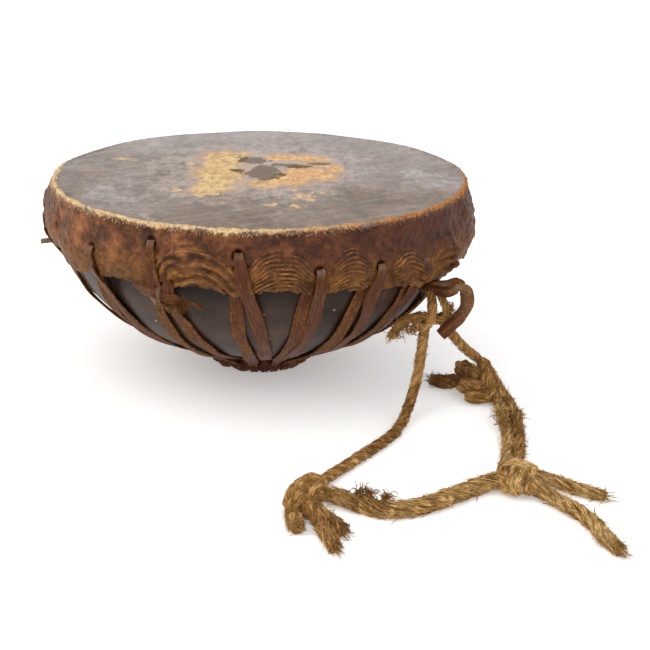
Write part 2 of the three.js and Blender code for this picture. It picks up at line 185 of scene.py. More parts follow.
def blackened_iron():
    """Sheet iron, hammered and oiled by hands: near black, satin, with fine level scratches, a brown bloom
    of rust in places, painted shade in a dark strip just under the hide's hem and a few pale flecks of old
    paint."""
    material, tree, surface = start_material("blackened_sheet_iron")
    place = add_node(tree, "TexCoord", {}, "Object")
    cloud = add_node(tree, "TexNoise", {"Vector": place, "Scale": 1 / (38 * MM), "Detail": 6,
                                        "Roughness": 0.6})
    level = add_node(tree, "Mapping", {"Vector": place, "Scale": (60, 60, 900)})
    lines = add_node(tree, "TexNoise", {"Vector": level, "Scale": 1, "Detail": 3})
    base = add_node(tree, "ValToRGB", {"Fac": cloud}, stops=[
        (0.34, "#251811"), (0.5, "#3b2a21"), (0.62, "#483429"), (0.74, "#5a3e2a")])
    lined = add_node(tree, "Mix", {0: 0.45, 6: base, 7: lines}, data_type="RGBA", blend_type="OVERLAY")
    # Painted shade: a dark strip on the iron just under the hide's hem, where the skirt's shadow falls.
    height = add_node(tree, "SeparateXYZ", {"Vector": place}, "Z")
    band = add_node(tree, "MapRange", {"Value": height, "From Min": HEM_SHADE_FROM, "From Max": HEM_SHADE_TO,
                                       "To Max": 0.75})
    hem_shaded_iron = add_node(tree, "Mix", {0: band, 6: lined, 7: linear("#150d09")}, data_type="RGBA")
    cells = add_node(tree, "TexVoronoi", {"Vector": place, "Scale": 1 / (15 * MM)})
    fleck = add_node(tree, "MapRange", {"Value": cells, "From Min": 0.085, "From Max": 0.05})
    flecked = add_node(tree, "Mix", {0: fleck, 6: hem_shaded_iron, 7: linear("#a08c70")}, data_type="RGBA")
    rough = add_node(tree, "MapRange", {"Value": cloud, "To Min": 0.3, "To Max": 0.55})
    bump = add_node(tree, "Bump", {"Strength": 0.25, "Distance": 0.4 * MM, "Height": lines})
    shader = add_node(tree, "BsdfPrincipled", {
        "Base Color": flecked, "Roughness": rough, "Metallic": 0.08, "Specular IOR Level": 0.2,
        "Normal": bump})
    tree.links.new(shader, surface)
    return material


out_radius, out_height = bowl_profile(0, BOWL_ROWS)
in_radius, in_height = bowl_profile(BOWL_WALL, BOWL_ROWS // 2)
profile_radius = np.concatenate([out_radius, in_radius[::-1]])[:, None]
profile_height = np.concatenate([out_height, in_height[::-1]])[:, None]
bowl_angles = np.arange(BOWL_SIDES) * 360 / BOWL_SIDES
bowl_skin = around(profile_radius, bowl_angles[None], profile_height)
dent = 1 - BOWL_DENT / BOWL_RADIUS * (1 + ripple(bowl_skin, BOWL_DENT_LENGTH, 3))
bowl_skin[..., :2] *= dent[..., None]
bowl = add_tubes("iron_bowl", bowl_skin[None], blackened_iron(), "iron")
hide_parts("bowl")


# Drumhead: one thick piece of ox hide, stretched wet over the rim and laced down, so that it dried
# tight on top and gathered into arched folds between the lace holes. Its edge hangs as a skirt.
HEAD_RADIUS = 150 * MM
HIDE = 2.2 * MM
HEM_DEPTH = 40 * MM
SKIRT = MM * np.array([[2.6, 0], [10, 2], [26, 4.5], [33, 3.8], [40, 1.2]])
HEAD_SIDES = 960
UNDER_ROWS, INSIDE_ROWS, HEM_ROWS, SKIRT_ROWS, RIM_ROWS, TOP_ROWS = 3, 6, 2, 56, 8, 26
GATHER = 1.8 * MM
SAG = 0.7 * MM
HOLE_HEM = 42
LIP_HEIGHT, LIP_WIDTH, LIP_INWARD = 2.4 * MM, 2.4 * MM, 0.7 * MM
SLIT_WIDTH, SLIT_HEIGHT, SLIT_UP, SLIT_PIT = MM * np.array([2.9, 3.1, 0.8, 4])
# Places on the skirt that stand apart: angle and half width in degrees, height in mm
LONG_HEM, SHORT_HEM = (52, 13, 8), (-72, 14, 5)
LUMPS, BLISTER = (72, 14, 2.6), (-92, 10, 3)

# Lace holes seen in front: angle in degrees and depth in mm; the rest are evenly spaced behind
FRONT_HOLES = [(-61.7, 20.1), (-42.9, 23.6), (-24.2, 11.2), (-2.4, 14.7), (16.9, 26.5), (33, 27.6),
               (47.5, 30), (64.7, 30.1)]
BACK_HOLES = 12
BACK_HOLE_DEPTH, BACK_HOLE_STRAY, BACK_HOLE_BEAT = 21, 5, 2.3

# Gaps between the holes in mm: hem depth; spacing, height and first depth of the folds; their bow and lean
FRONT_GAPS = [(43.3, 5, 0.3, 14, 30, 0), (37.7, 4.2, 0.4, 15, 26, 0), (35.9, 7.2, 1.5, 7, 21, 0.06),
              (37, 2.9, 0.8, 8, 19, 0.08), (40, 2.7, 0.8, 13, 12, 0.05), (44, 2.9, 0.8, 15, 12, 0.25),
              (47.5, 4.2, 0.55, 15, 14, 0.2)]
RIGHT_GAP, LEFT_GAP = (46, 5, 0.35, 16, 30, 0), (35, 5, 0.3, 16, 30, 0)
BACK_GAPS = [(38.5, 3.0, 0.8, 13, 14, -0.1), (37, 6.2, 1.3, 9, 20, 0), (40, 4.6, 0.9, 12, 18, 0.1)]
# Holes hidden by bunched hide, counted from the left, and its pouches: angle; depth, half width and
# half height in mm; how far they stand out
BUNCHED = [6, 7]
POUCHES = [(39.5, 34, 4.5, 8, 3.5), (46.5, 39, 7, 9, 6.5), (57, 34, 7.5, 11, 7)]

back_step = (FRONT_HOLES[0][0] + 360 - FRONT_HOLES[-1][0]) / (BACK_HOLES + 1)
HOLES = FRONT_HOLES + [(FRONT_HOLES[-1][0] + back_step * k,
                        BACK_HOLE_DEPTH + BACK_HOLE_STRAY * np.sin(BACK_HOLE_BEAT * k))
                       for k in range(1, BACK_HOLES + 1)]
GAPS = (FRONT_GAPS + [RIGHT_GAP] + [BACK_GAPS[k % len(BACK_GAPS)] for k in range(BACK_HOLES - 1)]
        + [LEFT_GAP])
hole_angle, hole_depth = np.array(HOLES).T * [[1], [MM]]


def hump(value, middle, width):
    """Bell curve: exp(-((v - m) / w)^2)."""
    return np.exp(-((value - middle) / width) ** 2)


def path_run(path):
    """Distance along a path to each of its points."""
    return np.concatenate([[0], np.cumsum(np.linalg.norm(np.diff(path, axis=0), axis=1))])


def smooth_path(route, count):
    """Catmull-Rom curve through a route's points, as evenly spaced points."""
    route = np.asarray(route, float)
    padded = np.vstack([2 * route[0] - route[1], route, 2 * route[-1] - route[-2]])
    place = np.linspace(0, len(route) - 1, 40 * len(route))[:-1]
    start = place.astype(int)
    t = (place - start)[:, None]
    a, b, c, d = (padded[start + k] for k in range(4))
    curve = b + 0.5 * t * (c - a + t * (2 * a - 5 * b + 4 * c - d + t * (3 * (b - c) + d - a)))
    curve = np.vstack([curve, route[-1]])
    run = path_run(curve)
    even = np.linspace(0, run[-1], count)
    return np.stack([np.interp(even, run, axis) for axis in curve.T], 1)


SKIRT_CURVE = smooth_path(SKIRT, 80)


def skirt_radius(depth):
    """Outer radius of the skirt at a depth, on the smooth line through its flare."""
    return HEAD_RADIUS + np.interp(depth, *SKIRT_CURVE.T)


def head_skin():
    """Points of the hide row by row, underside, inside of the skirt, hem, outside, rim and top, with marks.
    A fold is a line of depth = c + x^2 / (2 bow) + lean x, so the folds are arches between two holes."""
    # Rows: radius and depth down the section of the hide
    corner = SKIRT[0, 0]
    depth_out = np.linspace(HEM_DEPTH, corner, SKIRT_ROWS)
    depth_in = np.linspace(corner + HIDE, HEM_DEPTH, INSIDE_ROWS)
    bend = np.linspace(0, np.pi / 2, RIM_ROWS + 2)[1:-1]
    under = np.array([POLE, 0.5, 0.98]) * (HEAD_RADIUS - HIDE)
    top = HEAD_RADIUS - corner - (HEAD_RADIUS * (1 - POLE) - corner) * np.linspace(0, 1, TOP_ROWS) ** 1.8
    radius = np.concatenate([under, skirt_radius(depth_in) - HIDE,
                             skirt_radius(HEM_DEPTH) - HIDE * np.array([0.75, 0.25]),
                             skirt_radius(depth_out), HEAD_RADIUS - corner * (1 - np.cos(bend)), top])
    depth = np.concatenate([np.full(UNDER_ROWS, HIDE), depth_in, np.full(HEM_ROWS, HEM_DEPTH + 0.4 * MM),
                            depth_out, corner * (1 - np.sin(bend)), np.zeros(TOP_ROWS)])
    run = path_run(np.stack([radius, depth], 1))
    row = np.arange(len(depth))
    first_rim = len(depth) - TOP_ROWS - RIM_ROWS
    from_rim = (run - run[first_rim + RIM_ROWS // 2])[:, None]
    radius, depth, row = radius[:, None], depth[:, None], row[:, None]
    inside = row < UNDER_ROWS + INSIDE_ROWS
    skirt = np.clip((depth - 0.5 * MM) / (1.5 * MM), 0, 1) * (row >= UNDER_ROWS)
    down = np.clip((depth - corner) / (HEM_DEPTH - corner), 0, None)

    # Columns: place in the gap between two holes
    angle = hole_angle[0] + np.arange(HEAD_SIDES) * 360 / HEAD_SIDES
    gap = np.searchsorted(hole_angle, angle, side="right") - 1
    ends = np.append(hole_angle, hole_angle[0] + 360)
    share = (angle - ends[gap]) / (ends[gap + 1] - ends[gap])
    width = np.radians(ends[gap + 1] - ends[gap]) * HEAD_RADIUS
    across = (share - 0.5) * width
    between = np.sin(np.pi * share) ** 2
    hem, spacing, height, first, bow = (MM * np.array(GAPS)[gap].T)[:5]
    lean = np.array(GAPS)[gap, 5]

    # Hem: scalloped between the holes and torn
    flat = around(radius, angle[None], HEAD_TOP - depth)
    ragged = 0.9 * MM * ripple(flat, 9 * MM, 11) + 0.5 * MM * ripple(flat, 3.5 * MM, 12)
    turned = (angle + 180) % 360 - 180
    hole_hem = MM * (HOLE_HEM + LONG_HEM[2] * hump(turned, *LONG_HEM[:2])
                     - SHORT_HEM[2] * hump(turned, *SHORT_HEM[:2]))
    hem_here = hole_hem + (hem - hole_hem) * between ** 0.6
    z_depth = np.where(down > 0, corner + (hem_here - corner) * down, depth) + ragged * down ** 3

    # Folds: arches, stronger low down
    rng = np.random.default_rng(5)
    arch = z_depth - across ** 2 / (2 * bow) + lean * across + 0.45 * MM * ripple(flat, 16 * MM, 21)
    phase = arch / spacing + rng.uniform(0, 1, len(GAPS))[gap] + 0.3 * ripple(flat, 26 * MM, 25)
    wave = 0.5 + 0.5 * np.cos(2 * np.pi * phase)
    second = 0.5 + 0.5 * np.cos(2 * np.pi * (2.3 * phase + ripple(flat, 30 * MM, 24)))
    zone = np.clip((arch - first + 1.5 * MM * ripple(flat, 30 * MM, 23)) / (2.5 * MM), 0, 1)
    zone = zone * np.clip((width / 2 - np.abs(across)) / (5 * MM), 0.25, 1)
    strength = zone * np.clip(0.85 + 0.4 * ripple(flat, 14 * MM, 22), 0.15, 1.2)

    # Holes: a slit with a lip and creases round it, or else bunched hide
    nearest = np.where(share < 0.5, gap, (gap + 1) % len(GAPS))
    side = np.where(share < 0.5, share, share - 1) * width
    below = z_depth - hole_depth[nearest]
    slit = (side / SLIT_WIDTH) ** 2 + ((below + SLIT_UP) / SLIT_HEIGHT) ** 2
    bunched = np.isin(nearest, BUNCHED)
    pit_and_shade = np.exp(-slit ** 2) * ~bunched
    lip = hump(np.sqrt(slit), 1.75, 0.45) * ~bunched
    bunch = sum(out / 7 * np.exp(-((np.radians(turned - at) * HEAD_RADIUS) / (wide * MM)) ** 4
                                 - ((z_depth - deep * MM) / (high * MM)) ** 4)
                for at, deep, wide, high, out in POUCHES)
    lump = np.clip(1.2 * ripple(flat * [1, 1, 1.6], 9 * MM, 33), -1, 1)
    reach = np.hypot(side, below)
    fan = np.cos(13 * np.arctan2(side, below)) * hump(reach, 7 * MM, 4 * MM)
    press = hump(side, 0, 5.5 * MM) * np.clip(below / (6 * MM), 0, 1)

    # Relief: how far the skirt is pushed out, and the furred lip of the rim
    lumps = hump(turned, *LUMPS[:2]) * (0.9 + 0.6 * ripple(flat, 15 * MM, 31))
    blister = hump(turned, *BLISTER[:2]) * np.sin(np.pi * np.clip(down, 0, 1) ** 0.7)
    push = (GATHER * between * down + height * strength * (wave ** 1.4 + 0.3 * second) - SLIT_PIT * pit_and_shade
            + 0.5 * MM * lip + 0.3 * MM * fan - 0.9 * MM * press * ~bunched + BLISTER[2] * MM * blister
            + MM * bunch * (6 + 2.6 * lump)
            + LUMPS[2] * MM * lumps * np.sin(np.pi * np.clip(down, 0, 1) ** 0.8)
            + 0.25 * MM * ripple(flat, 5 * MM, 41))
    push = np.where(inside, np.minimum(push, 0) * 0.3, push) * skirt
    fray = LIP_WIDTH * (0.95 + 0.45 * ripple(flat, 22 * MM, 54) + 0.25 * ripple(flat, 6 * MM, 55))
    fur = hump(from_rim, LIP_INWARD, fray) * ~inside
    front = np.cos(np.radians(angle))
    seen = np.clip((front + 0.4) / 0.4, 0, 1)
    lift = 0.65 + 0.35 * front + seen * (0.14 * ripple(flat, 4 * MM, 51) + 0.1 * ripple(flat, 2 * MM, 52))
    push = push + 0.3 * MM * seen * fur * ripple(flat, 3 * MM, 56)
    skin = around(radius + push, angle[None], HEAD_TOP - z_depth)
    dip = SAG * np.sqrt(np.clip(1 - (radius / HEAD_RADIUS) ** 2, 0, 1))
    dip = dip + 0.35 * MM * ripple(flat, 60 * MM, 53)
    skin[..., 2] += LIP_HEIGHT * lift * fur - np.where(row >= first_rim, dip, 0)

    grid = skin.shape[:2]
    deep = np.clip(height / (0.8 * MM), 0, 1) ** 2
    marks = {
        # the pit mark also carries painted shade into the lace holes
        "skirt": np.broadcast_to(skirt, grid), "rim": fur * seen, "pit_and_shade": pit_and_shade * skirt,
        "fold": strength * deep,
        # painted highlight along the crests of the folds and the bunched hide
        "crest_light": np.maximum(deep * strength * wave ** 3, 0.6 * bunch * (0.5 + 0.5 * lump)),
        # painted shade in the valleys of the folds and of the bunched hide
        "valley_shade": np.maximum(deep * strength * (1 - wave) ** 2, bunch * (0.5 - 0.5 * lump)),
        "hem": np.broadcast_to(np.clip((down - 0.35) / 0.5, 0, 1), grid),
        "strand": np.stack(np.broadcast_arrays(arch / MM, 0.07 * across / MM, 7.0 * gap), -1)}
    return skin, marks


# Worn places of the head in mm: middle, half length and half width
LARGE_PATCHES = [(-8, 5, 52, 62), (0, 45, 60, 40)]
BARE_PATCHES = [(-30, 9, 17, 48), (-34, -36, 12, 21), (-30, 55, 16, 18), (32, 13, 15.5, 27),
                (53, 23, 7.5, 12.5), (5, -23, 15, 12.5), (22, -11, 15.5, 18.5), (16, 58, 15.5, 10),
                (44, 2, 13, 15), (36, 52, 12, 8)]
FLAKES = [(30, -52, 9, 12), (48, -47, 7, 5), (38, -65, 6, 7), (13, -80, 5, 6), (27, -84, 6, 6),
          (-35, -57, 10, 7), (-56, -46, 6, 8), (-107, 43, 12, 6), (-56, 33, 7, 8)]
GRIME_PATCHES = [(1, 11, 13.5, 25), (-8, 48, 11.5, 13), (20, 31, 17.5, 8), (40, 39, 10, 4.5),
                 (-17, 15, 7.5, 5), (3, -2, 10.5, 12)]


def ox_hide():
    """Rawhide, dried and handled: brown-grey with a dull shine on top and painted lilac sheen towards the
    back, bared to ochre and grimy where it is struck; red-brown and ribbed on the skirt, going dark to the
    right partly by painted shade, with painted highlights on the fold crests and painted shade in their
    valleys and in the lace holes; furred straw along the rim."""
    material, tree, surface = start_material("worn_ox_rawhide")
    colours = {"data_type": "RGBA"}
    overlay = {"data_type": "RGBA", "blend_type": "OVERLAY"}
    place = add_node(tree, "TexCoord", {}, "Object")
    skirt, rim, pit_and_shade, fold, crest_light, valley_shade, hem = (
        add_node(tree, "Attribute", {}, "Fac", attribute_name=name)
        for name in ("skirt", "rim", "pit_and_shade", "fold", "crest_light", "valley_shade", "hem"))
    strand = add_node(tree, "Attribute", {}, "Vector", attribute_name="strand")
    drawn = add_node(tree, "Mapping", {"Vector": place, "Scale": (1, 0.65, 1)})
    cloud, ragged, speck, grain, blotch = (
        add_node(tree, "TexNoise", {"Vector": drawn, "Scale": 1 / (size * MM), "Detail": 8,
                                    "Roughness": rough})
        for size, rough in ((52, 0.62), (11, 0.74), (4.5, 0.7), (1.6, 0.6), (20, 0.68)))
    fine = add_node(tree, "TexNoise", {"Vector": strand, "Scale": 1.1, "Detail": 5, "Roughness": 0.68})
    gritty = add_node(tree, "Mix", {0: 0.5, 2: speck, 3: grain})
    strong_ragged, strong_speck, strong_grain, strong_blotch, strong_fine, strong_grit = (
        add_node(tree, "MapRange", {"Value": field, "From Min": 0.32, "From Max": 0.68})
        for field in (ragged, speck, grain, blotch, fine, gritty))
    east, north = (add_node(tree, "SeparateXYZ", {"Vector": place}, axis) for axis in "XY")

    def inside_patches(ellipses):
        """Field that is 1 in the middle of the nearest ellipse and 0 on its edge."""
        field = None
        for x, y, long, wide in ellipses:
            local = add_node(tree, "Mapping", {
                "Vector": place, "Location": (x * MM, y * MM, 0), "Scale": (long * MM, wide * MM, 1e3)},
                vector_type="TEXTURE")
            far = add_node(tree, "VectorMath", {0: local}, "Value", operation="LENGTH")
            field = far if field is None else add_node(tree, "Math", {0: field, 1: far},
                                                       operation="MINIMUM")
        return add_node(tree, "Math", {0: 1.0, 1: field}, operation="SUBTRACT")

    def torn_mask(field, low, high, amount=1.0, tear=ragged, depth=0.9):
        """Mask of a field with an edge torn by a noise."""
        shift = add_node(tree, "MapRange", {"Value": tear, "From Min": 0.25, "From Max": 0.75,
                                            "To Min": -depth, "To Max": depth}, clamp=False)
        torn = add_node(tree, "Math", {0: shift, 1: field}, operation="ADD")
        return add_node(tree, "MapRange", {"Value": torn, "From Min": low, "From Max": high,
                                           "To Max": amount})

    bare_field, flake_field, grime_field, scuff_field = (
        inside_patches(patches) for patches in (BARE_PATCHES, FLAKES, GRIME_PATCHES, LARGE_PATCHES))

    brown = add_node(tree, "ValToRGB", {"Fac": cloud}, stops=[
        (0.36, "#594837"), (0.47, "#725f4f"), (0.57, "#7d6e64"), (0.68, "#958a86")])
    top = add_node(tree, "Mix", {0: 0.5, 6: brown, 7: strong_speck}, **overlay)
    swept = add_node(tree, "Mapping", {"Vector": place, "Rotation": (0, 0, 0.5),
                                       "Scale": (77 * MM, 4.8 * MM, 77 * MM)}, vector_type="TEXTURE")
    scratch = add_node(tree, "TexNoise", {"Vector": swept, "Scale": 1, "Detail": 5, "Roughness": 0.65})
    scored = add_node(tree, "MapRange", {"Value": scratch, "From Min": 0.52, "From Max": 0.7, "To Max": 0.4})
    top = add_node(tree, "Mix", {0: scored, 6: top, 7: linear("#a09690")}, **colours)
    # Painted sheen: the top is lightened to lilac grey in clouds, more towards the back, for the shine of
    # the white surroundings on it.
    sheen_toward_back = add_node(tree, "MapRange", {"Value": north, "From Min": -110 * MM, "From Max": 120 * MM,
                                           "To Min": -0.22, "To Max": 0.12}, clamp=False)
    sheen_noise = add_node(tree, "Mix", {0: 0.7, 2: blotch, 3: ragged})
    sheen_field = add_node(tree, "Math", {0: sheen_toward_back, 1: sheen_noise}, operation="ADD")
    painted_sheen = add_node(tree, "MapRange", {"Value": sheen_field, "From Min": 0.36, "From Max": 0.8, "To Max": 0.72})
    top = add_node(tree, "Mix", {0: painted_sheen, 6: top, 7: linear("#b2aaab")}, **colours)
    scuffed = torn_mask(scuff_field, -0.5, 0.5, 0.8)
    top = add_node(tree, "Mix", {0: scuffed, 6: top, 7: linear("#b5a39a")}, **colours)
    fringed = torn_mask(bare_field, -0.7, 0.0, 0.7)
    top = add_node(tree, "Mix", {0: fringed, 6: top, 7: linear("#b38b64")}, **colours)
    rightward = add_node(tree, "MapRange", {"Value": east, "From Min": -15 * MM, "From Max": 12 * MM})
    ochre = add_node(tree, "Mix", {0: rightward, 6: linear("#cbaa79"), 7: linear("#cda274")}, **colours)
    flesh = add_node(tree, "Mix", {0: 0.3, 6: ochre, 7: strong_speck}, **overlay)
    flaked = torn_mask(flake_field, 0.35, 0.6, 0.85, speck, 1.3)
    bare = add_node(tree, "Math", {0: torn_mask(bare_field, 0.0, 0.12), 1: flaked}, operation="MAXIMUM")
    top = add_node(tree, "Mix", {0: bare, 6: top, 7: flesh}, **colours)
    grimed = torn_mask(grime_field, 0.0, 0.2, 0.92)
    top = add_node(tree, "Mix", {0: grimed, 6: top, 7: linear("#574225")}, **colours)
    top = add_node(tree, "Mix", {0: 0.35, 6: top, 7: strong_grit}, **overlay)

    red = add_node(tree, "ValToRGB", {"Fac": blotch}, stops=[
        (0.34, "#2c2118"), (0.44, "#54331e"), (0.54, "#78492b"), (0.66, "#98663c")])
    # The skirt goes to dark maroon towards the right: partly the hide's own tone, partly painted shade on
    # the side away from the key light.
    tone_and_shade_rightward = add_node(tree, "MapRange", {"Value": east, "From Min": -130 * MM, "From Max": 90 * MM,
                                         "To Max": 0.85})
    side = add_node(tree, "Mix", {0: tone_and_shade_rightward, 6: red, 7: linear("#3f1f15")}, **colours)
    low = add_node(tree, "Math", {0: hem, 1: ragged}, operation="MULTIPLY")
    lower = add_node(tree, "MapRange", {"Value": low, "From Min": 0.12, "From Max": 0.5, "To Max": 0.7})
    side = add_node(tree, "Mix", {0: lower, 6: side, 7: linear("#6b431c")}, **colours)
    mottle = add_node(tree, "Math", {0: hem, 1: strong_ragged}, operation="MULTIPLY")
    side = add_node(tree, "Mix", {0: mottle, 6: side, 7: linear("#7c5023")}, **colours)
    soiled = add_node(tree, "Math", {0: hem, 1: strong_blotch}, operation="MULTIPLY")
    grubby = add_node(tree, "MapRange", {"Value": soiled, "From Min": 0.3, "From Max": 0.9, "To Max": 0.75})
    side = add_node(tree, "Mix", {0: grubby, 6: side, 7: linear("#3d2410")}, **colours)
    # Painted shade: the valleys of the folds and of the bunched hide are darkened.
    painted_valley_shade = add_node(tree, "MapRange", {"Value": valley_shade, "From Min": 0.15, "From Max": 0.9, "To Max": 0.7})
    side = add_node(tree, "Mix", {0: painted_valley_shade, 6: side, 7: linear("#2b170c")}, **colours)
    # Painted highlight: the crests of the folds are lightened to ochre, broken up by noise.
    broken = add_node(tree, "Math", {0: fine, 1: strong_ragged}, operation="MULTIPLY")
    lit_crest = add_node(tree, "Math", {0: crest_light, 1: broken}, operation="MULTIPLY")
    ribbed = add_node(tree, "MapRange", {"Value": lit_crest, "From Min": 0.05, "From Max": 0.34, "To Max": 0.6})
    side = add_node(tree, "Mix", {0: ribbed, 6: side, 7: linear("#976530")}, **colours)
    combed = add_node(tree, "MapRange", {"Value": fold, "To Min": 0.12, "To Max": 0.6})
    side = add_node(tree, "Mix", {0: combed, 6: side, 7: strong_fine}, **overlay)
    side = add_node(tree, "Mix", {0: 0.6, 6: side, 7: strong_speck}, **overlay)
    # Painted shade: the lace holes are darkened to near black.
    side = add_node(tree, "Mix", {0: pit_and_shade, 6: side, 7: linear("#0f0a07")}, **colours)

    torn = add_node(tree, "Math", {0: speck, 1: grain}, operation="ADD")
    furred = add_node(tree, "Math", {0: torn, 1: rim}, operation="ADD")
    fur = add_node(tree, "MapRange", {"Value": furred, "From Min": 1.45, "From Max": 1.8})
    browner = add_node(tree, "MapRange", {"Value": east, "From Min": 0.0, "From Max": 90 * MM,
                                          "To Max": 0.9})
    straw = add_node(tree, "Mix", {0: browner, 6: linear("#cdac80"), 7: linear("#a3652c")}, **colours)
    straw = add_node(tree, "Mix", {0: 0.4, 6: straw, 7: strong_grain}, **overlay)
    body = add_node(tree, "Mix", {0: skirt, 6: top, 7: side}, **colours)
    colour = add_node(tree, "Mix", {0: fur, 6: body, 7: straw}, **colours)

    shine = add_node(tree, "MapRange", {"Value": speck, "From Min": 0.3, "From Max": 0.7,
                                        "To Min": 0.34, "To Max": 0.58})
    matt = add_node(tree, "Math", {0: bare, 1: fur}, operation="MAXIMUM")
    rough = add_node(tree, "Mix", {0: matt, 2: shine, 3: 0.85})
    gloss = add_node(tree, "MapRange", {"Value": skirt, "To Min": 0.45, "To Max": 0.14})
    relief = add_node(tree, "Math", {0: fold, 1: fine}, operation="MULTIPLY")
    height = add_node(tree, "Math", {0: speck, 1: relief}, operation="ADD")
    bump = add_node(tree, "Bump", {"Strength": 0.6, "Distance": 0.8 * MM, "Height": height})
    shader = add_node(tree, "BsdfPrincipled", {
        "Base Color": colour, "Roughness": rough, "Normal": bump, "Specular IOR Level": gloss})
    tree.links.new(shader, surface)
    return material


FIBRE = 0.14 * MM
RIM_HAIRS = 1500
RIM_HAIR_LONG = 1.0 * MM
RIM_HAIR_DROOP = 0.5 * MM


def add_hairs(name, middle, material, slot, rng, fibre_radius=FIBRE, **marks):
    """Fibres as three-sided tubes along many short lines, of uneven thickness, thinner at both ends."""
    count, rows = middle.shape[:2]
    middle[..., 2] = np.maximum(middle[..., 2], 2 * FIBRE)
    ahead = unit(np.gradient(middle, axis=1))
    normal = unit(np.cross(ahead, rng.normal(size=(count, 1, 3))))
    third = np.cross(ahead, normal)
    taper = np.interp(np.linspace(0, 1, rows), [0, 0.1, 0.8, 1], [0.6, 1, 0.8, 0.3])
    thick = fibre_radius * rng.lognormal(0, 0.4, (count, 1)) * taper
    turn = 2 * np.pi * np.arange(3) / 3
    skin = middle[:, :, None] + thick[:, :, None, None] * (np.cos(turn)[:, None] * normal[:, :, None]
                                                           + np.sin(turn)[:, None] * third[:, :, None])
    return add_tubes(name, skin, material, slot, **marks)


HIDE_MATERIAL = ox_hide()
head_points, head_marks = head_skin()
head = add_tubes("hide_head", head_points[None], HIDE_MATERIAL, "head_hide",
                 **{name: values[None] for name, values in head_marks.items()})
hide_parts("drumhead")

hair_rng = np.random.default_rng(57)
hair_angle = hair_rng.uniform(-105, 105, RIM_HAIRS)
hair_drop = MM * hair_rng.uniform(-2.2, 2.4, RIM_HAIRS)
hair_root = around(HEAD_RADIUS - np.maximum(-hair_drop, 0.1 * MM) * 0.7, hair_angle, HEAD_TOP - hair_drop)
hair_way = (around(1.0, hair_angle + 90, 0.0) * hair_rng.normal(size=(RIM_HAIRS, 1))
            + around(0.5, hair_angle, -0.4) + 0.4 * hair_rng.normal(size=(RIM_HAIRS, 3)))
hair_long = RIM_HAIR_LONG * hair_rng.lognormal(0, 0.4, (RIM_HAIRS, 1, 1))
hair_run = np.linspace(0, 1, 5)[:, None]
hair_line = hair_root[:, None] + hair_long * hair_run * unit(hair_way)[:, None]
hair_line = hair_line - [0, 0, RIM_HAIR_DROOP] * hair_run ** 2
add_hairs("rim_fur", hair_line, HIDE_MATERIAL, "head_hide", hair_rng, rim=2.0)


# Base ring: thongs twisted together into a ring, which takes the lacing under the bowl.
# It is also the foot that the drum stands on, so it is pressed flat below.
RING_RADIUS = 30.5 * MM
RING_TUBE = 7.6 * MM
RING_HEIGHT = 7.2 * MM
RING_STRANDS = 3
RING_TWISTS = 9
RING_STEPS = 220
STRAND_SIDES = 14
STRAND_FATNESS = 1.22
FIBRE_SHRINK = 9


def frames_along(path):
    """Directions along a path: ahead, a normal that is carried on without twist, and the third axis."""
    ahead = unit(np.gradient(path, axis=0))
    normal = [unit(np.cross(ahead[0], (0, 0, 1) if abs(ahead[0, 2]) < 0.9 else (1, 0, 0)))]
    for way in ahead[1:]:
        normal.append(unit(normal[-1] - way * (normal[-1] @ way)))
    normal = np.array(normal)
    return ahead, normal, np.cross(ahead, normal)


def laid_strands(path, radius, lay, strands=3, phase=0.0, seed=0, uneven=0.07):
    """Strands laid round a path: strand k's middle turns once in each lay length at radius R - s, where
    s = R sin(pi/n) / (1 + sin(pi/n)) is its own radius. Gives the skin, the fibre vector and how far out."""
    _, normal, third = frames_along(path)
    run = path_run(path)
    radius = np.broadcast_to(radius, run.shape)
    rng = np.random.default_rng(seed)
    turn = 2 * np.pi * (run / lay + np.arange(strands)[:, None] / strands) + phase
    part = np.sin(np.pi / strands) / (1 + np.sin(np.pi / strands))
    outward = np.cos(turn)[..., None] * normal + np.sin(turn)[..., None] * third
    middle = path + (radius * (1 - part * STRAND_FATNESS))[:, None] * outward
    middle = middle + (uneven * radius * ripple(middle, 11 * MM, seed + 1))[..., None] * outward
    ahead = unit(np.gradient(middle, axis=1))
    outward = unit(outward - ahead * (outward * ahead).sum(-1, keepdims=True))
    across = np.cross(ahead, outward)
    side = 2 * np.pi * np.arange(STRAND_SIDES) / STRAND_SIDES
    yarn = 1 + 0.05 * np.cos(6 * side - 2 * np.pi * run[:, None] / (0.9 * lay)
                             + rng.uniform(0, 6, (strands, 1, 1)))
    thick = (radius * part * STRAND_FATNESS)[:, None] * yarn
    thick = thick * (1 + uneven * ripple(middle, 6 * MM, seed + 2)[..., None])
    skin = middle[:, :, None] + thick[..., None] * (np.cos(side)[:, None] * outward[:, :, None]
                                                    + np.sin(side)[:, None] * across[:, :, None])
    along = run[:, None] / MM + 37 * np.arange(strands)[:, None, None]
    fibre = np.stack(np.broadcast_arrays(thick / MM * np.cos(side), thick / MM * np.sin(side),
                                         along / FIBRE_SHRINK), -1)
    return skin, fibre, np.broadcast_to(np.cos(side), thick.shape)


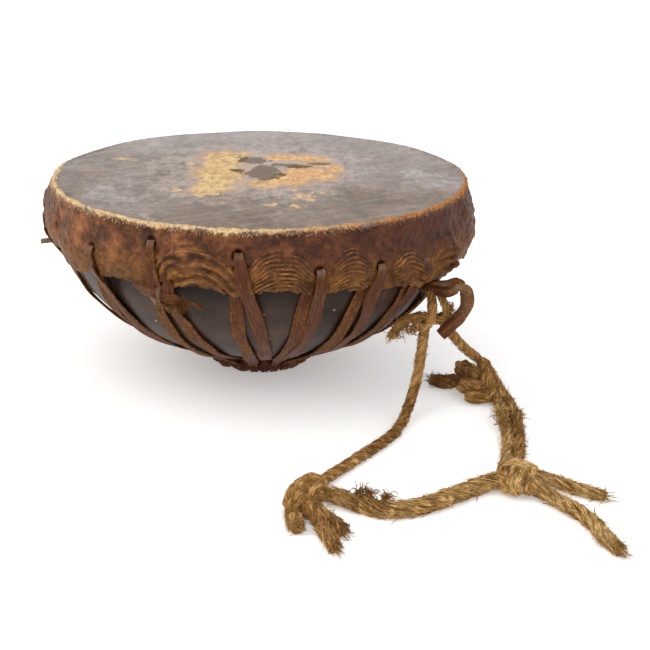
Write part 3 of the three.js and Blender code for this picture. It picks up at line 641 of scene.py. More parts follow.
def thong_hide():
    """Thong of the same rawhide: maroon and dull where hands polished it, raw ochre along its cut edges,
    fibrous lengthways; a pale grey highlight is painted on it where it bends."""
    material, tree, surface = start_material("thong_rawhide")
    place = add_node(tree, "TexCoord", {}, "Object")
    strip = add_node(tree, "Attribute", {}, "Vector", attribute_name="strip")
    tone = add_node(tree, "Attribute", {}, "Fac", attribute_name="tone")
    across, pale = (add_node(tree, "SeparateXYZ", {"Vector": strip}, axis) for axis in "XZ")
    cloud = add_node(tree, "TexNoise", {"Vector": place, "Scale": 1 / (14 * MM), "Detail": 7,
                                        "Roughness": 0.7})
    speck = add_node(tree, "TexNoise", {"Vector": place, "Scale": 1 / (2.6 * MM), "Detail": 4,
                                        "Roughness": 0.7})
    long_way = add_node(tree, "Mapping", {"Vector": strip, "Scale": (4, 70, 1)})
    fibre = add_node(tree, "TexNoise", {"Vector": long_way, "Scale": 1, "Detail": 5, "Roughness": 0.65})
    face = add_node(tree, "ValToRGB", {"Fac": fibre}, stops=[
        (0.34, "#381c0f"), (0.5, "#502b19"), (0.66, "#683e25")])
    raw = add_node(tree, "ValToRGB", {"Fac": speck}, stops=[
        (0.34, "#3f250e"), (0.5, "#623b1a"), (0.66, "#8a5e2b")])
    edge = add_node(tree, "Math", {0: across, 1: across}, operation="MULTIPLY")
    edged = add_node(tree, "Math", {0: edge, 1: 0.35, 2: tone}, operation="MULTIPLY_ADD")
    torn = add_node(tree, "Math", {0: cloud, 1: 1.5, 2: edged}, operation="MULTIPLY_ADD")
    rawness = add_node(tree, "MapRange", {"Value": torn, "From Min": 1.0, "From Max": 1.45})
    colour = add_node(tree, "Mix", {0: rawness, 6: face, 7: raw}, data_type="RGBA")
    streaked = add_node(tree, "Mix", {0: 0.4, 6: colour, 7: fibre}, data_type="RGBA", blend_type="OVERLAY")
    # Painted highlight: the strip's pale mark lightens it to grey, in patches, where it bends.
    highlight_breakup = add_node(tree, "MapRange", {"Value": cloud, "From Min": 0.35, "From Max": 0.6,
                                         "To Min": 0.2, "To Max": 1.2})
    painted_bend_highlight = add_node(tree, "Math", {0: pale, 1: highlight_breakup}, operation="MULTIPLY")
    bent = add_node(tree, "Mix", {0: painted_bend_highlight, 6: streaked, 7: linear("#93806c")}, data_type="RGBA")
    height = add_node(tree, "Math", {0: fibre, 1: speck}, operation="ADD")
    bump = add_node(tree, "Bump", {"Strength": 0.55, "Distance": 0.6 * MM, "Height": height})
    rough = add_node(tree, "MapRange", {"Value": torn, "From Min": 0.8, "From Max": 1.5,
                                        "To Min": 0.38, "To Max": 0.75})
    shader = add_node(tree, "BsdfPrincipled", {
        "Base Color": bent, "Roughness": rough, "Normal": bump, "Specular IOR Level": 0.12})
    tree.links.new(shader, surface)
    return material


THONG = thong_hide()
ring_path = around(RING_RADIUS, np.linspace(0, 360, RING_STEPS), RING_HEIGHT)
ring_lay = 2 * np.pi * RING_RADIUS / RING_TWISTS
ring_skin, ring_fibre, ring_out = laid_strands(ring_path, RING_TUBE, ring_lay, RING_STRANDS, seed=61,
                                               uneven=0.12)
ring_skin[..., 2] = np.maximum(ring_skin[..., 2], 0)
ring_along = ring_fibre[..., 2] * FIBRE_SHRINK * MM
ring = add_tubes("twisted_ring", ring_skin, THONG, "thong_hide", tone=-0.08,
                 strip=np.stack([0.6 * ring_out, ring_along, np.zeros_like(ring_along)], -1))
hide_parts("base_ring")


# Lacing: flat thongs of the same hide, twenty of them. Each comes up from the base ring under the
# skirt, out through a hole and back down over the skirt, drawn tight over the bowl's shoulder.
LACE_THICK = 1.9 * MM
OUTER_WIDTHS = MM * np.array([4.6, 9.6, 9.6, 8])
INNER_WIDTHS = MM * np.array([4.6, 9.2, 9.2, 5.2])
SKIRT_GAP, BOWL_GAP, FLOOR_GAP = 0.6 * MM, 0.4 * MM, 0.05 * MM
LEG_STEP = 14 * MM
LEG_TIP = np.radians(10)
LEG_STRAY = 0.5 * MM
LEG_CAMBER = 0.5 * MM
# Swing of the legs round the drum in degrees at shares of their length: outer leg, inner leg
SWING_SHARE = [0, 0.18, 0.35, 0.65, 1]
PLAIN_SWING = [(0, 0.5, 1.1, 3.6, 7.5), (0, -2.4, -2.9, -2.4, -1.4)]
FRONT_SWING = {2: [(0, 1, 4.4, 9, 10), (0, -0.8, -1.1, -1, -1.1)],
               3: [(0, 2.4, 4.6, 7.5, 9.4), (0, -1.1, -0.9, 0.9, -2.4)],
               4: [(0, 0.4, 0.6, -0.4, 8), (0, -3, -3.6, -4.6, 1.4)],
               5: [(0, -0.4, 1.2, 1.4, 6), (0, -4, -4.6, -5.5, -1)]}
# Depths at which the outer leg comes to lie on the skirt, under its hole, and the legs on the bowl
HOLE_REST = 3 * MM
INNER_TOUCH, OUTER_TOUCH = HEM_DEPTH - 4 * MM, HEM_DEPTH + 8 * MM
# Places where a thong leaves its hole, in mm out from the middle of the hide and above the hole
OUT_OF_HOLE = MM * np.array([(-0.5, 0.4), (2, 1.1)])
BEHIND_HOLE, BEHIND_SLIT = 2.4 * MM, 5 * MM
# Places where the legs meet the ring, in mm past its side and above the floor
OUTER_FOOT = MM * np.array([(2.4, 15), (-0.6, 11.2)])
INNER_FOOT = MM * np.array([(1.6, 8.5), (0.2, 4), (-4.5, 1.1)])
# Painted highlight where each outer leg bends out of its hole
HOLE_PALE = 0.35
OPEN_SLIT = 0
LEG_POINTS = 84
STRIP_SIDES = 18


def taut(places):
    """Tight string over places from top to bottom: only those that stand out keep it up."""
    kept = []
    for place in places:
        while len(kept) > 1:
            (r0, z0), (r1, z1) = kept[-2:]
            if (r1 - r0) * (place[1] - z1) - (z1 - z0) * (place[0] - r1) <= 0:
                break
            kept.pop()
        kept.append(place)
    return kept


def over_bowl(start):
    """Places down the bowl under a leg: radius and height, a gap and half the strip off the iron."""
    lift = BOWL_GAP + LACE_THICK / 2
    depth = np.arange(start, BOWL_DEPTH - LEG_STEP / 2, LEG_STEP)
    return list(zip(bowl_radius(depth) + lift, HEAD_TOP - depth - 0.4 * lift))


def sweep_strip(middle, side, out, width, thick, camber, pale=0.0):
    """Strip along a path: middle + across * side + through * out, where the section is a flat super-ellipse
    bent by its camber. Gives its skin and the strip mark of across, run and painted highlight."""
    turn = 2 * np.pi * np.arange(STRIP_SIDES) / STRIP_SIDES
    share = np.sign(np.cos(turn)) * np.abs(np.cos(turn)) ** 0.45
    width, thick, camber, pale = (np.broadcast_to(values, len(middle))[:, None]
                                  for values in (width, thick, camber, pale))
    across = width / 2 * share
    through = thick / 2 * np.sign(np.sin(turn)) * np.abs(np.sin(turn)) ** 0.8 - camber * share ** 2
    skin = middle[:, None] + across[..., None] * side[:, None] + through[..., None] * out[:, None]
    skin[..., 2] = np.maximum(skin[..., 2], FLOOR_GAP)
    return skin, np.stack(np.broadcast_arrays(share, path_run(middle)[:, None], pale), -1)


def add_strips(name, strips, tone):
    """Piece made of strips of thong, with how raw each of them is."""
    return add_tubes(name, np.stack([skin for skin, _ in strips]), THONG, "thong_hide",
                     strip=np.stack([mark for _, mark in strips]), tone=tone)


def lace_leg(places, angle, width, seed, pale=0.0):
    """Strip down the drum through (radius, height) places; angle and width are given along it."""
    line = smooth_path(np.array(places), LEG_POINTS)
    share = np.linspace(0, 1, LEG_POINTS)
    turn = smooth_path(np.stack([SWING_SHARE, angle], 1), LEG_POINTS)
    turn = np.interp(share, *turn.T)
    middle = around(line[:, 0], turn, line[:, 1])
    ahead = unit(np.gradient(middle, axis=0))
    side = around(1.0, turn + 90, 0.0)
    side = unit(side - ahead * (side * ahead).sum(1, keepdims=True))
    out = np.cross(side, ahead)
    tip = LEG_TIP * ripple(middle, 60 * MM, seed + 2)[:, None]
    side, out = side * np.cos(tip) + out * np.sin(tip), out * np.cos(tip) - side * np.sin(tip)
    middle = middle + side * LEG_STRAY * ripple(middle, 60 * MM, seed)[:, None]
    width = np.interp(share, [0, 0.12, 0.6, 1], width)
    width = width * (1 + 0.06 * ripple(middle, 40 * MM, seed + 1) + 0.012 * ripple(middle, 6 * MM, seed + 3))
    # painted highlight at the bend just out of the hole
    glow = pale * hump(path_run(middle), 3 * MM, 2.2 * MM)
    camber = LEG_CAMBER * (1 + 0.8 * ripple(middle, 35 * MM, seed + 4))
    return sweep_strip(middle, -side, out, width, LACE_THICK, camber, glow)


def make_lace(index, angle, depth):
    """One thong: the leg that comes up inside and the leg that goes down outside."""
    outer_foot, inner_foot = ([(RING_RADIUS + RING_TUBE + past, height) for past, height in foot]
                              for foot in (OUTER_FOOT, INNER_FOOT))
    lift = SKIRT_GAP + LACE_THICK / 2
    rows = [row for row in SKIRT[:, 0] if row > depth + HOLE_REST]
    hide_middle = skirt_radius(depth) - HIDE / 2
    out_of_hole = [(hide_middle + past, HEAD_TOP - depth + above) for past, above in OUT_OF_HOLE]
    outer = out_of_hole + taut([(skirt_radius(depth + HOLE_REST) + lift, HEAD_TOP - depth - HOLE_REST)]
                               + [(skirt_radius(row) + lift, HEAD_TOP - row) for row in rows]
                               + over_bowl(OUTER_TOUCH) + outer_foot[:1]) + outer_foot[1:]
    behind = BEHIND_SLIT if index == OPEN_SLIT else BEHIND_HOLE
    inner = [(hide_middle - behind, HEAD_TOP - depth)] + taut(
        over_bowl(INNER_TOUCH) + inner_foot[:1]) + inner_foot[1:]
    seed = 100 + 9 * index
    outer_swing, inner_swing = angle + np.array(FRONT_SWING.get(index, PLAIN_SWING))
    legs = [lace_leg(inner, inner_swing, INNER_WIDTHS, seed)]
    shade = np.random.default_rng(seed)
    tones = [shade.uniform(0.3, 0.55)]
    if index != OPEN_SLIT:
        legs.append(lace_leg(outer, outer_swing, OUTER_WIDTHS, seed + 3, pale=HOLE_PALE))
        tones.append(shade.uniform(0.05, 0.35))
    lace = add_strips(f"thong_{index + 1:02d}", legs, np.array(tones)[:, None, None])
    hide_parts(f"lace_{index + 1:02d}")


for index, (angle, depth) in enumerate(zip(hole_angle, hole_depth)):
    make_lace(index, angle, depth)


# Lace knot: where one thong ran out and the next was tied on, below the third hole. The two cut
# ends stand off it like pointed leaves, a band holds them together and shreds hang from it.
KNOT_ANGLE, KNOT_DEPTH, KNOT_OUT = -23.6, 50 * MM, 149 * MM
KNOT_POINTS = 40
KNOT_CAMBER = 1.1 * MM
KNOT_STRIPS = [
    # route in mm across, out and up; width at start, middle and end; thickness; rawness; painted highlight
    ([(7, 3, 6.5), (2, 5, 6.8), (-3, 5.5, 7.1), (-8.5, 6, 8.6), (-14.5, 6, 10)], (7, 8.5, 1.2), 2.0, 0.3,
     0.12),
    ([(6, 3, 2), (9.5, 6, 8), (11, 6.5, 13), (8, 5.5, 21)], (6, 11, 1.2), 2.0, 0.1, 0.0),
    ([(5, 2, 12), (5, 7, 9), (5.5, 7.8, 5), (6, 6.5, 0.5), (6.5, 2, -2)], (3.2, 3.6, 2.6), 2.4, 0.35, 0.5),
    ([(-3, 3, 3.5), (1.5, 6.5, 2), (6, 6, -1)], (2.5, 3.6, 2.5), 2.2, 0.4, 0.5),
    ([(3, 4, 4.5), (9, 6.8, 5), (17, 6.5, 4), (25, 5, 2.5)], (6, 8, 3.5), 2.8, 0.4, 0.0),
    ([(21, 4.5, 3.5), (29, 3.5, 2), (36, 2.5, -0.8)], (3, 2, 1.2), 1.8, 0.2, 0.0),
    ([(8, 6, 3), (9.5, 6.2, -1), (11.5, 5, -5)], (6, 4, 0.8), 1.8, 0.6, 0.1),
    ([(13, 6, 4), (16, 5.8, 1), (18, 4.5, -3)], (6, 5, 1.5), 1.8, 0.3, 0.0),
    ([(18, 6, 4), (22, 5.5, 1.5), (25, 4.5, -2)], (4, 3, 0.8), 1.8, 0.5, 0.0),
    ([(4, 5, 1), (3.5, 5.5, -3), (4.5, 4, -7)], (4, 3, 0.8), 1.8, 0.2, 0.2)]

knot_strips = []
knot_side, knot_out = around(1.0, KNOT_ANGLE + 90, 0.0), around(1.0, KNOT_ANGLE, 0.0)
knot_axes = np.stack([knot_side, knot_out, np.array([0, 0, 1])])
knot_at = around(KNOT_OUT, KNOT_ANGLE, HEAD_TOP - KNOT_DEPTH)
for route, widths, thick, _, pale in KNOT_STRIPS:
    middle = knot_at + MM * smooth_path(route, KNOT_POINTS) @ knot_axes
    ahead = unit(np.gradient(middle, axis=0))
    side = unit(np.cross(knot_out, ahead))
    width = MM * np.interp(np.linspace(0, 1, KNOT_POINTS), [0, 0.5, 1], widths)
    width = width * (1 + 0.12 * ripple(middle, 6 * MM, 65))
    knot_strips.append(sweep_strip(middle, side, np.cross(ahead, side), width, thick * MM,
                                   KNOT_CAMBER, pale))
knot_tone = np.array([strip[3] for strip in KNOT_STRIPS])
lace_knot = add_strips("thong_knot", knot_strips, knot_tone[:, None, None])
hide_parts("lace_knot")

FRINGE = 260
FRINGE_LONG = (2, 7)
fringe_rng = np.random.default_rng(66)
fringe_root = fringe_rng.uniform((4, 5, 0), (25, 7.5, 7), (FRINGE, 3))
fringe_way = unit(fringe_rng.normal((0.5, 0.3, -0.5), (0.7, 0.4, 0.6), (FRINGE, 3)))
fringe_run = np.linspace(0, 1, 5)[:, None]
fringe_reach = fringe_rng.uniform(*FRINGE_LONG, (FRINGE, 1, 1)) * fringe_run
fringe_line = fringe_root[:, None] + fringe_reach * fringe_way[:, None]
add_hairs("thong_knot_fringe", knot_at + MM * fringe_line @ knot_axes, THONG, "thong_hide", fringe_rng,
          1.4 * FIBRE, tone=fringe_rng.uniform(0.2, 1.0, (FRINGE, 1, 1)))


# Cut end: the tail of a thong of hide that was pulled through under the hem on the left.
# It is stiff, stands straight out and is cut off square.
CUT_ANGLE, CUT_DEPTH, CUT_DROOP = -86, 48 * MM, 2 * MM
CUT_FROM, CUT_LONG = 144.5, 16.5
CUT_WIDTH, CUT_THICK = 5 * MM, 3.2 * MM
# The cut end is lightened all along by a painted highlight.
CUT_PALE, CUT_TONE = 0.5, 0.6
cut_share = np.linspace(0, 1, 24)
cut_middle = around(MM * (CUT_FROM + CUT_LONG * cut_share), CUT_ANGLE,
                    HEAD_TOP - CUT_DEPTH - CUT_DROOP * cut_share)
cut_ahead = unit(np.gradient(cut_middle, axis=0))
cut_side = np.broadcast_to(around(1.0, CUT_ANGLE + 90, 0.0), cut_middle.shape)
cut_strip = sweep_strip(cut_middle, cut_side, np.cross(cut_ahead, cut_side), CUT_WIDTH, CUT_THICK,
                        camber=0, pale=CUT_PALE)
cut_end = add_strips("thong_cut_end", [cut_strip], CUT_TONE)
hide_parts("lace_end")


# Carry loop: a stiff strap of folded hide, tucked under the lacing and bent round to an open hook.
# Its lower end is cut square; a thinner fold of it lies along its root.
LOOP_ROUTE = MM * np.array([[114, -84, 86], [122, -90, 86], [131, -97, 87.5], [137.5, -99.5, 91.5],
                            [142.5, -100.5, 89], [143.5, -101.5, 80], [139, -103, 72], [132, -105, 65],
                            [126.5, -106, 59.5]])
FOLD_ROUTE = MM * np.array([[116, -84, 90], [124, -90, 90.2], [131, -94.5, 91.8], [137, -98, 94.5],
                            [141, -99.5, 92.5]])
LOOP_POINTS = 110
LOOP_WIDTH, LOOP_THICK = 8.4 * MM, 6.6 * MM
FOLD_WIDTH, FOLD_THICK = 6 * MM, 4.6 * MM
LOOP_CAMBER = 0.5 * MM
loop_share = np.linspace(0, 1, LOOP_POINTS)
# Painted highlight along the strap's bend
loop_pale = np.interp(loop_share, [0.3, 0.42, 0.7, 0.8], [0, 0.24, 0.16, 0])
loop_strips = []
for route, width, thick in ((LOOP_ROUTE, LOOP_WIDTH, LOOP_THICK), (FOLD_ROUTE, FOLD_WIDTH, FOLD_THICK)):
    middle = smooth_path(route, LOOP_POINTS)
    ahead = unit(np.gradient(middle, axis=0))
    face = unit(np.cross(ahead, (0.55, -0.8, 0.1)))
    loop_strips.append(sweep_strip(middle, np.cross(face, ahead), face,
                                   width * (1 + 0.1 * ripple(middle, 16 * MM, 71)),
                                   thick * (1 + 0.1 * ripple(middle, 11 * MM, 72)), LOOP_CAMBER, loop_pale))
loop_tone = np.stack([np.interp(loop_share, [0, 0.3, 0.42, 0.7, 0.82, 1], [-0.1, 0, 0.75, 0.45, -0.1, -0.2]),
                      np.interp(loop_share, [0, 1], [0.1, 0.6])])
carry_loop = add_strips("hide_carry_loop", loop_strips, loop_tone[:, :, None])
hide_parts("carry_loop")


# Carrying rope: hand-laid hemp in five lengths between three knots, from the hitch on the carry loop
# round over the floor and back up to it. Old and dry, with broken fibres standing off everywhere.
ROPE, FRAYED_ROPE, STRAND, STRANDS_APART = MM * np.array([6.9, 9.4, 6.9, 7.4])
LOOSE_FIBRE = 0.19 * MM
HAIR_POINTS = 7
LAY, LOOSE_LAY = 30 * MM, 75 * MM
ROPE_STEP = 1.0 * MM
FRONT_ROUTE = MM * np.array([[115.5, -102.5, 58.5], [114.2, -103.5, 44], [112, -105.5, 28],
                             [108.5, -110, 14.5], [104.5, -119, 6.6], [101, -129, 3.7], [95, -145, 3.6],
                             [85.6, -160.6, 3.6], [69, -184.6, 3.6], [54.5, -206, 4], [47, -222, 6]])
NEAR_ROUTE = MM * np.array([[46, -236, 7], [58, -238, 6], [70.9, -245.4, 4.9], [89.5, -252, 4.9],
                            [109.2, -245.3, 4.9], [128.1, -232.2, 4.9], [145, -219.5, 5.4],
                            [158, -214.5, 7]])
SIDE_ROUTE = MM * np.array([[168.5, -205, 7], [169.2, -184, 3.8], [174, -150, 3.7], [176, -115, 3.7],
                            [174.5, -90, 4.5], [169, -73, 7]])
BACK_ROUTE = MM * np.array([[159.5, -52, 21], [149, -64, 33], [138.5, -78, 48], [126.2, -93.6, 68.8]])


def hemp(name, dark, middle, light):
    """Hemp: dull golden bast fibre, streaked along each strand, dark between the strands with dirt and
    painted shade.
    """
    material, tree, surface = start_material(name)
    place = add_node(tree, "TexCoord", {}, "Object")
    fibre = add_node(tree, "Attribute", {}, "Vector", attribute_name="fibre")
    out = add_node(tree, "Attribute", {}, "Fac", attribute_name="out")
    streak = add_node(tree, "TexNoise", {"Vector": fibre, "Scale": 1.1, "Detail": 6, "Roughness": 0.75})
    cloud = add_node(tree, "TexNoise", {"Vector": place, "Scale": 1 / (22 * MM), "Detail": 5,
                                        "Roughness": 0.65})
    mixed = add_node(tree, "Mix", {0: 0.3, 2: streak, 3: cloud})
    base = add_node(tree, "ValToRGB", {"Fac": mixed}, stops=[(0.41, dark), (0.5, middle), (0.59, light)])
    # Between the strands the colour is darkened: partly dirt, partly painted shade in the crevices.
    deep = add_node(tree, "MapRange", {"Value": out, "From Min": -0.6, "From Max": 0.4,
                                       "To Min": 0.8, "To Max": 0.0})
    grime_and_crevice_shade = add_node(tree, "Mix", {0: deep, 6: base, 7: linear("#3a2611")}, data_type="RGBA")
    bump = add_node(tree, "Bump", {"Strength": 0.7, "Distance": 0.5 * MM, "Height": streak})
    shader = add_node(tree, "BsdfPrincipled", {
        "Base Color": grime_and_crevice_shade, "Roughness": 0.88, "Normal": bump, "Specular IOR Level": 0.15})
    tree.links.new(shader, surface)
    return material


BROWN_HEMP = hemp("golden_hemp", "#603c17", "#9b723d", "#cfa36b")
STRAW_HEMP = hemp("straw_hemp", "#62411a", "#b0874d", "#e6c690")
DARK_HEMP = hemp("soiled_hemp", "#4a2f1a", "#855931", "#a98150")


def rope_points(route, step=ROPE_STEP):
    """Smooth path along a route with one point to each step."""
    return smooth_path(route, int(path_run(smooth_path(route, 200))[-1] / step) + 2)


def beside(route, shift):
    """Route moved sideways on the floor."""
    run = unit(np.gradient(route, axis=0) * [1, 1, 0])
    return route + shift * np.stack([-run[:, 1], run[:, 0], run[:, 2]], 1)


def add_rope(name, strands, material):
    """Piece from laid strands, kept above the floor, with its fibre direction and how far out it lies."""
    skin, fibre, out = strands
    skin[..., 2] = np.maximum(skin[..., 2], FLOOR_GAP)
    return add_tubes(name, skin, material, "hemp", fibre=fibre, out=out)


def hair_shade(rng, count):
    """Fibre mark for loose fibres: one place in the streaks for each, so each has its own shade."""
    return np.broadcast_to(rng.uniform(0, 40, (count, 1, 1, 3)), (count, HAIR_POINTS, 3, 3))


def rope_hairs(name, path, radius, count, length, lay, lift, material, seed, inmost=0.9, spread=1.0):
    """Loose fibres on a rope: each follows the lay over its surface and lifts off it at one end.
    point(t) = path(s) + (R + lift e t^2)(cos a, sin a), s = s0 + length t, a = a0 + 2 pi s / lay."""
    rng = np.random.default_rng(seed)
    _, normal, third = frames_along(path)
    run = path_run(path)
    t = np.linspace(0, 1, HAIR_POINTS)
    long = length * rng.lognormal(0, 0.45, (count, 1)) * rng.choice([-1, 1], (count, 1))
    place = np.clip(rng.uniform(0, spread * run[-1], (count, 1)) + long * t, 0, run[-1])
    turn = rng.uniform(0, 2 * np.pi, (count, 1)) + 2 * np.pi * place / lay
    turn = turn + 0.5 * rng.normal(size=(count, 1)) * t
    far = np.interp(place, run, np.broadcast_to(radius, run.shape)) * rng.uniform(inmost, 1.02, (count, 1))
    far = far + lift * rng.exponential(1, (count, 1)) * t ** 2
    at, across, up = (np.stack([np.interp(place, run, axis) for axis in rows.T], -1)
                      for rows in (path, normal, third))
    middle = at + far[..., None] * (np.cos(turn)[..., None] * across + np.sin(turn)[..., None] * up)
    middle += (0.25 * lift * t ** 2)[:, None] * rng.normal(size=(count, 1, 3))
    return add_hairs(name, middle, material, "hemp", rng, LOOSE_FIBRE, fibre=hair_shade(rng, count), out=1.0)


def tufts(name, roots, ways, count, length, material, seed):
    """Tufts of broken yarn: from round each root many fibres run out about its way and curl over.
    point(t) = root + length / w (sin(w t) way + (1 - cos(w t)) side), an arc that turns by w."""
    rng = np.random.default_rng(seed)
    roots, ways = MM * np.repeat(roots, count, 0), unit(np.repeat(ways, count, 0).astype(float))
    total = len(roots)
    t = np.linspace(0, 1, HAIR_POINTS)[:, None]
    start = roots + 1.7 * MM * rng.normal(size=(total, 3))
    way = unit(ways + 0.45 * rng.normal(size=(total, 3)))
    side = unit(np.cross(way, rng.normal(size=(total, 3))))
    bend = rng.uniform(1, 4.5, (total, 1, 1))
    long = length * rng.uniform(0.5, 1.3, (total, 1, 1)) / bend
    arc = np.sin(bend * t) * way[:, None] + (1 - np.cos(bend * t)) * side[:, None]
    return add_hairs(name, start[:, None] + long * arc, material, "hemp", rng, 1.3 * LOOSE_FIBRE,
                     fibre=hair_shade(rng, total), out=1.0)


def lay_rope(name, kind, path, thick, lay, material, seed, **laid):
    """One run of the rope, laid along a path in the place of its node."""
    rope = add_rope(f"{name}_{kind}", laid_strands(path, thick / 2, lay, seed=seed, **laid), material)
    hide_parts(name)
    return rope


def fuzz(name, path, thick, lay, material, seed, count, length, lift):
    """Loose fibres along one run of the rope, their length and lift in mm."""
    return rope_hairs(name + "_fibres", path, thick / 2, count, length * MM, lay, lift * MM, material, seed)


front_path = rope_points(FRONT_ROUTE)
front_lay = front_path, ROPE, LAY, BROWN_HEMP
rope_front = lay_rope("rope_front", "laid", *front_lay, 81, uneven=0.1)
front_hair = fuzz("rope_front", *front_lay, 82, 1300, 5, 0.5)

near_path = rope_points(NEAR_ROUTE)
near_lay = near_path, FRAYED_ROPE, LOOSE_LAY, STRAW_HEMP
rope_near = lay_rope("rope_near", "loose", *near_lay, 83, strands=6, uneven=0.2)
near_hair = fuzz("rope_near", *near_lay, 84, 1300, 10, 1.0)
near_tufts = tufts("rope_near_tufts", [(71, -241, 9), (76, -243, 9), (86, -247, 9)],
                   [(0.1, 0.5, 1), (0.5, 0.4, 0.8), (0.3, 0.6, 0.6)], 90, 6 * MM, BROWN_HEMP, 79)

outer_path, inner_path = (rope_points(beside(SIDE_ROUTE, side * STRANDS_APART / 2)) for side in (1, -1))
outer_lay = outer_path, STRAND, LOOSE_LAY, STRAW_HEMP
inner_lay = inner_path, STRAND, LOOSE_LAY, BROWN_HEMP
rope_outer = lay_rope("rope_side_outer", "laid", *outer_lay, 85, strands=5, uneven=0.16)
rope_inner = lay_rope("rope_side_inner", "laid", *inner_lay, 86, strands=5, phase=1, uneven=0.16)
outer_hair = fuzz("rope_side_outer", *outer_lay, 87, 1500, 8, 1.0)
inner_hair = fuzz("rope_side_inner", *inner_lay, 88, 1300, 8, 1.0)
side_tufts = tufts("rope_side_tufts",
                   [(169, -117, 7), (177, -119, 8), (180, -121, 7), (170, -130, 6), (174, -122, 9)],
                   [(-1, -0.1, 0.3), (0.2, -0.5, 0.5), (1, 0.1, 0.3), (-1, 0.3, 0.3), (-0.2, -0.6, 0.5)],
                   60, 7 * MM, STRAW_HEMP, 78)

back_path = rope_points(BACK_ROUTE)
back_lay = back_path, ROPE, LAY, BROWN_HEMP
rope_back = lay_rope("rope_back", "laid", *back_lay, 89)
back_hair = fuzz("rope_back", *back_lay, 90, 420, 4, 0.35)


# Knots: overhand knots that join the rope's lengths, drawn up hard, and the hitch round the carry loop.
# Their cut ends are left long and have come unlaid into loose yarn.
TURN_POINTS = 90
KNOT_HAIRS, TAIL_HAIRS, TIP_HAIRS = 220, 11, 420


def blunt(run, radius):
    """Radius along a rope with both ends rounded off: R sqrt(1 - (1 - d / R)^2) at d from an end."""
    near = np.clip(np.minimum(run, run[-1] - run) / radius, 0.02, 1)
    return radius * np.sqrt(1 - (1 - near) ** 2)


def add_knot(name, turns, lay, material, seed, replaced):
    """Knot from turns of rope, each given by its thickness and route in mm, with fibres standing off."""
    paths = [smooth_path(MM * np.array(route), TURN_POINTS) for _, route in turns]
    radii = [blunt(path_run(path), thick / 2 * MM) for path, (thick, _) in zip(paths, turns)]
    made = [laid_strands(path, radius, lay, 5, seed=seed + 3 * k, uneven=0.14)
            for k, (path, radius) in enumerate(zip(paths, radii))]
    knot = add_rope(name, [np.concatenate(parts) for parts in zip(*made)], material)
    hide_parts(replaced)
    return [knot] + [rope_hairs(f"{name}_fibres_{k + 1}", path, radius, KNOT_HAIRS, 5 * MM, lay, 0.5 * MM,
                                material, seed + 50 + k)
                     for k, (path, radius) in enumerate(zip(paths, radii))]


def add_tail(name, route, thick, fray, material, seed):
    """Cut end of the rope: it thins out over a fray length up to its tip, where its fibres run on."""
    path = rope_points(MM * np.array(route))
    run = path_run(path)
    left = run[-1] - run
    wide = thick / 2 * np.interp(left, [0, 0.5 * fray, 1.3 * fray], [0.2, 0.75, 1.0])
    piece = add_rope(name, laid_strands(path, wide, LOOSE_LAY, 5, seed=seed, uneven=0.16), material)
    flare = thick / 2 * np.interp(left, [0, fray], [0.9, 1.0])
    hair = rope_hairs(name + "_fibres", path, flare, int(TAIL_HAIRS * run[-1] / MM), 8 * MM, LOOSE_LAY,
                      1.0 * MM, material, seed + 1)
    beyond = path[-1] + np.arange(1, 1 + fray / ROPE_STEP)[:, None] * (path[-1] - path[-2])
    near_tip = np.concatenate([path[left < 1.4 * fray], beyond])
    tip = rope_hairs(name + "_tip", near_tip, 0.8 * thick / 2, TIP_HAIRS, 0.6 * fray, LOOSE_LAY, 0.9 * MM,
                     material, seed + 2, inmost=0.1, spread=0.45)
    return [piece, hair, tip]


left_knot = add_knot("knot_left_turns", [
    (13.5, [(46, -224, 7), (42, -231, 10), (37, -237, 10.5), (33.5, -245.5, 8.5), (32.5, -254, 6.8)]),
    (12, [(46, -230, 8), (45, -237, 9.5), (42.5, -246, 8.5), (43.5, -255, 6.5), (46, -261, 5.2)]),
    (10, [(38, -240, 9), (38, -247, 8.5), (41, -253, 6.5)])], 110 * MM, BROWN_HEMP, 91, "knot_left")
left_stub = add_tail("knot_left_stub", [
    (32.3, -251, 7), (31.9, -260, 5), (33.5, -268, 4.7), (35.2, -274, 4.6)],
    9.2 * MM, 2.5 * MM, BROWN_HEMP, 95)
left_tails = add_tail("knot_left_tail", [
    (42.8, -256.5, 6.5), (47.6, -267, 4.6), (52.2, -281, 4.3), (56.5, -294, 3.6)],
    8.6 * MM, 8 * MM, BROWN_HEMP, 97)
left_tails += add_tail("knot_left_second_tail", [
    (45, -257, 6.5), (51, -263, 5.4), (55.6, -268, 4.8), (61.5, -275, 4)],
    8 * MM, 7 * MM, BROWN_HEMP, 131)

right_knot = add_knot("knot_right_turns", [
    (8.6, [(158, -205, 6.5), (162, -203.5, 9.5), (168.5, -203.5, 11), (175.5, -206, 10), (181, -207, 7)]),
    (11.5, [(167.5, -210, 9.5), (166.5, -217, 9.8), (165, -225, 7.2), (166, -230, 5.9)]),
    (9, [(175.5, -206, 9.5), (175, -214, 9.5), (173.5, -221, 8), (171, -228, 5)]),
    (9.5, [(160, -206, 8.5), (159, -214, 9), (160, -221, 7), (163, -226, 5)])], 140 * MM, STRAW_HEMP, 101,
    "knot_right")
upper_tail = add_tail("knot_right_upper_tail", [
    (174, -210, 8.5), (186, -210, 6), (197, -216, 4.6), (207, -222.5, 4.2), (218, -228, 4)],
    7.2 * MM, 10 * MM, STRAW_HEMP, 105)
lower_tail = add_tail("knot_right_lower_tail", [
    (172, -222, 8), (182, -229, 6), (190, -238, 4.8), (198.5, -249, 4.5), (205.5, -263, 4.4),
    (209, -277, 4.2), (215, -292, 3.8)], 8.2 * MM, 12 * MM, STRAW_HEMP, 107)

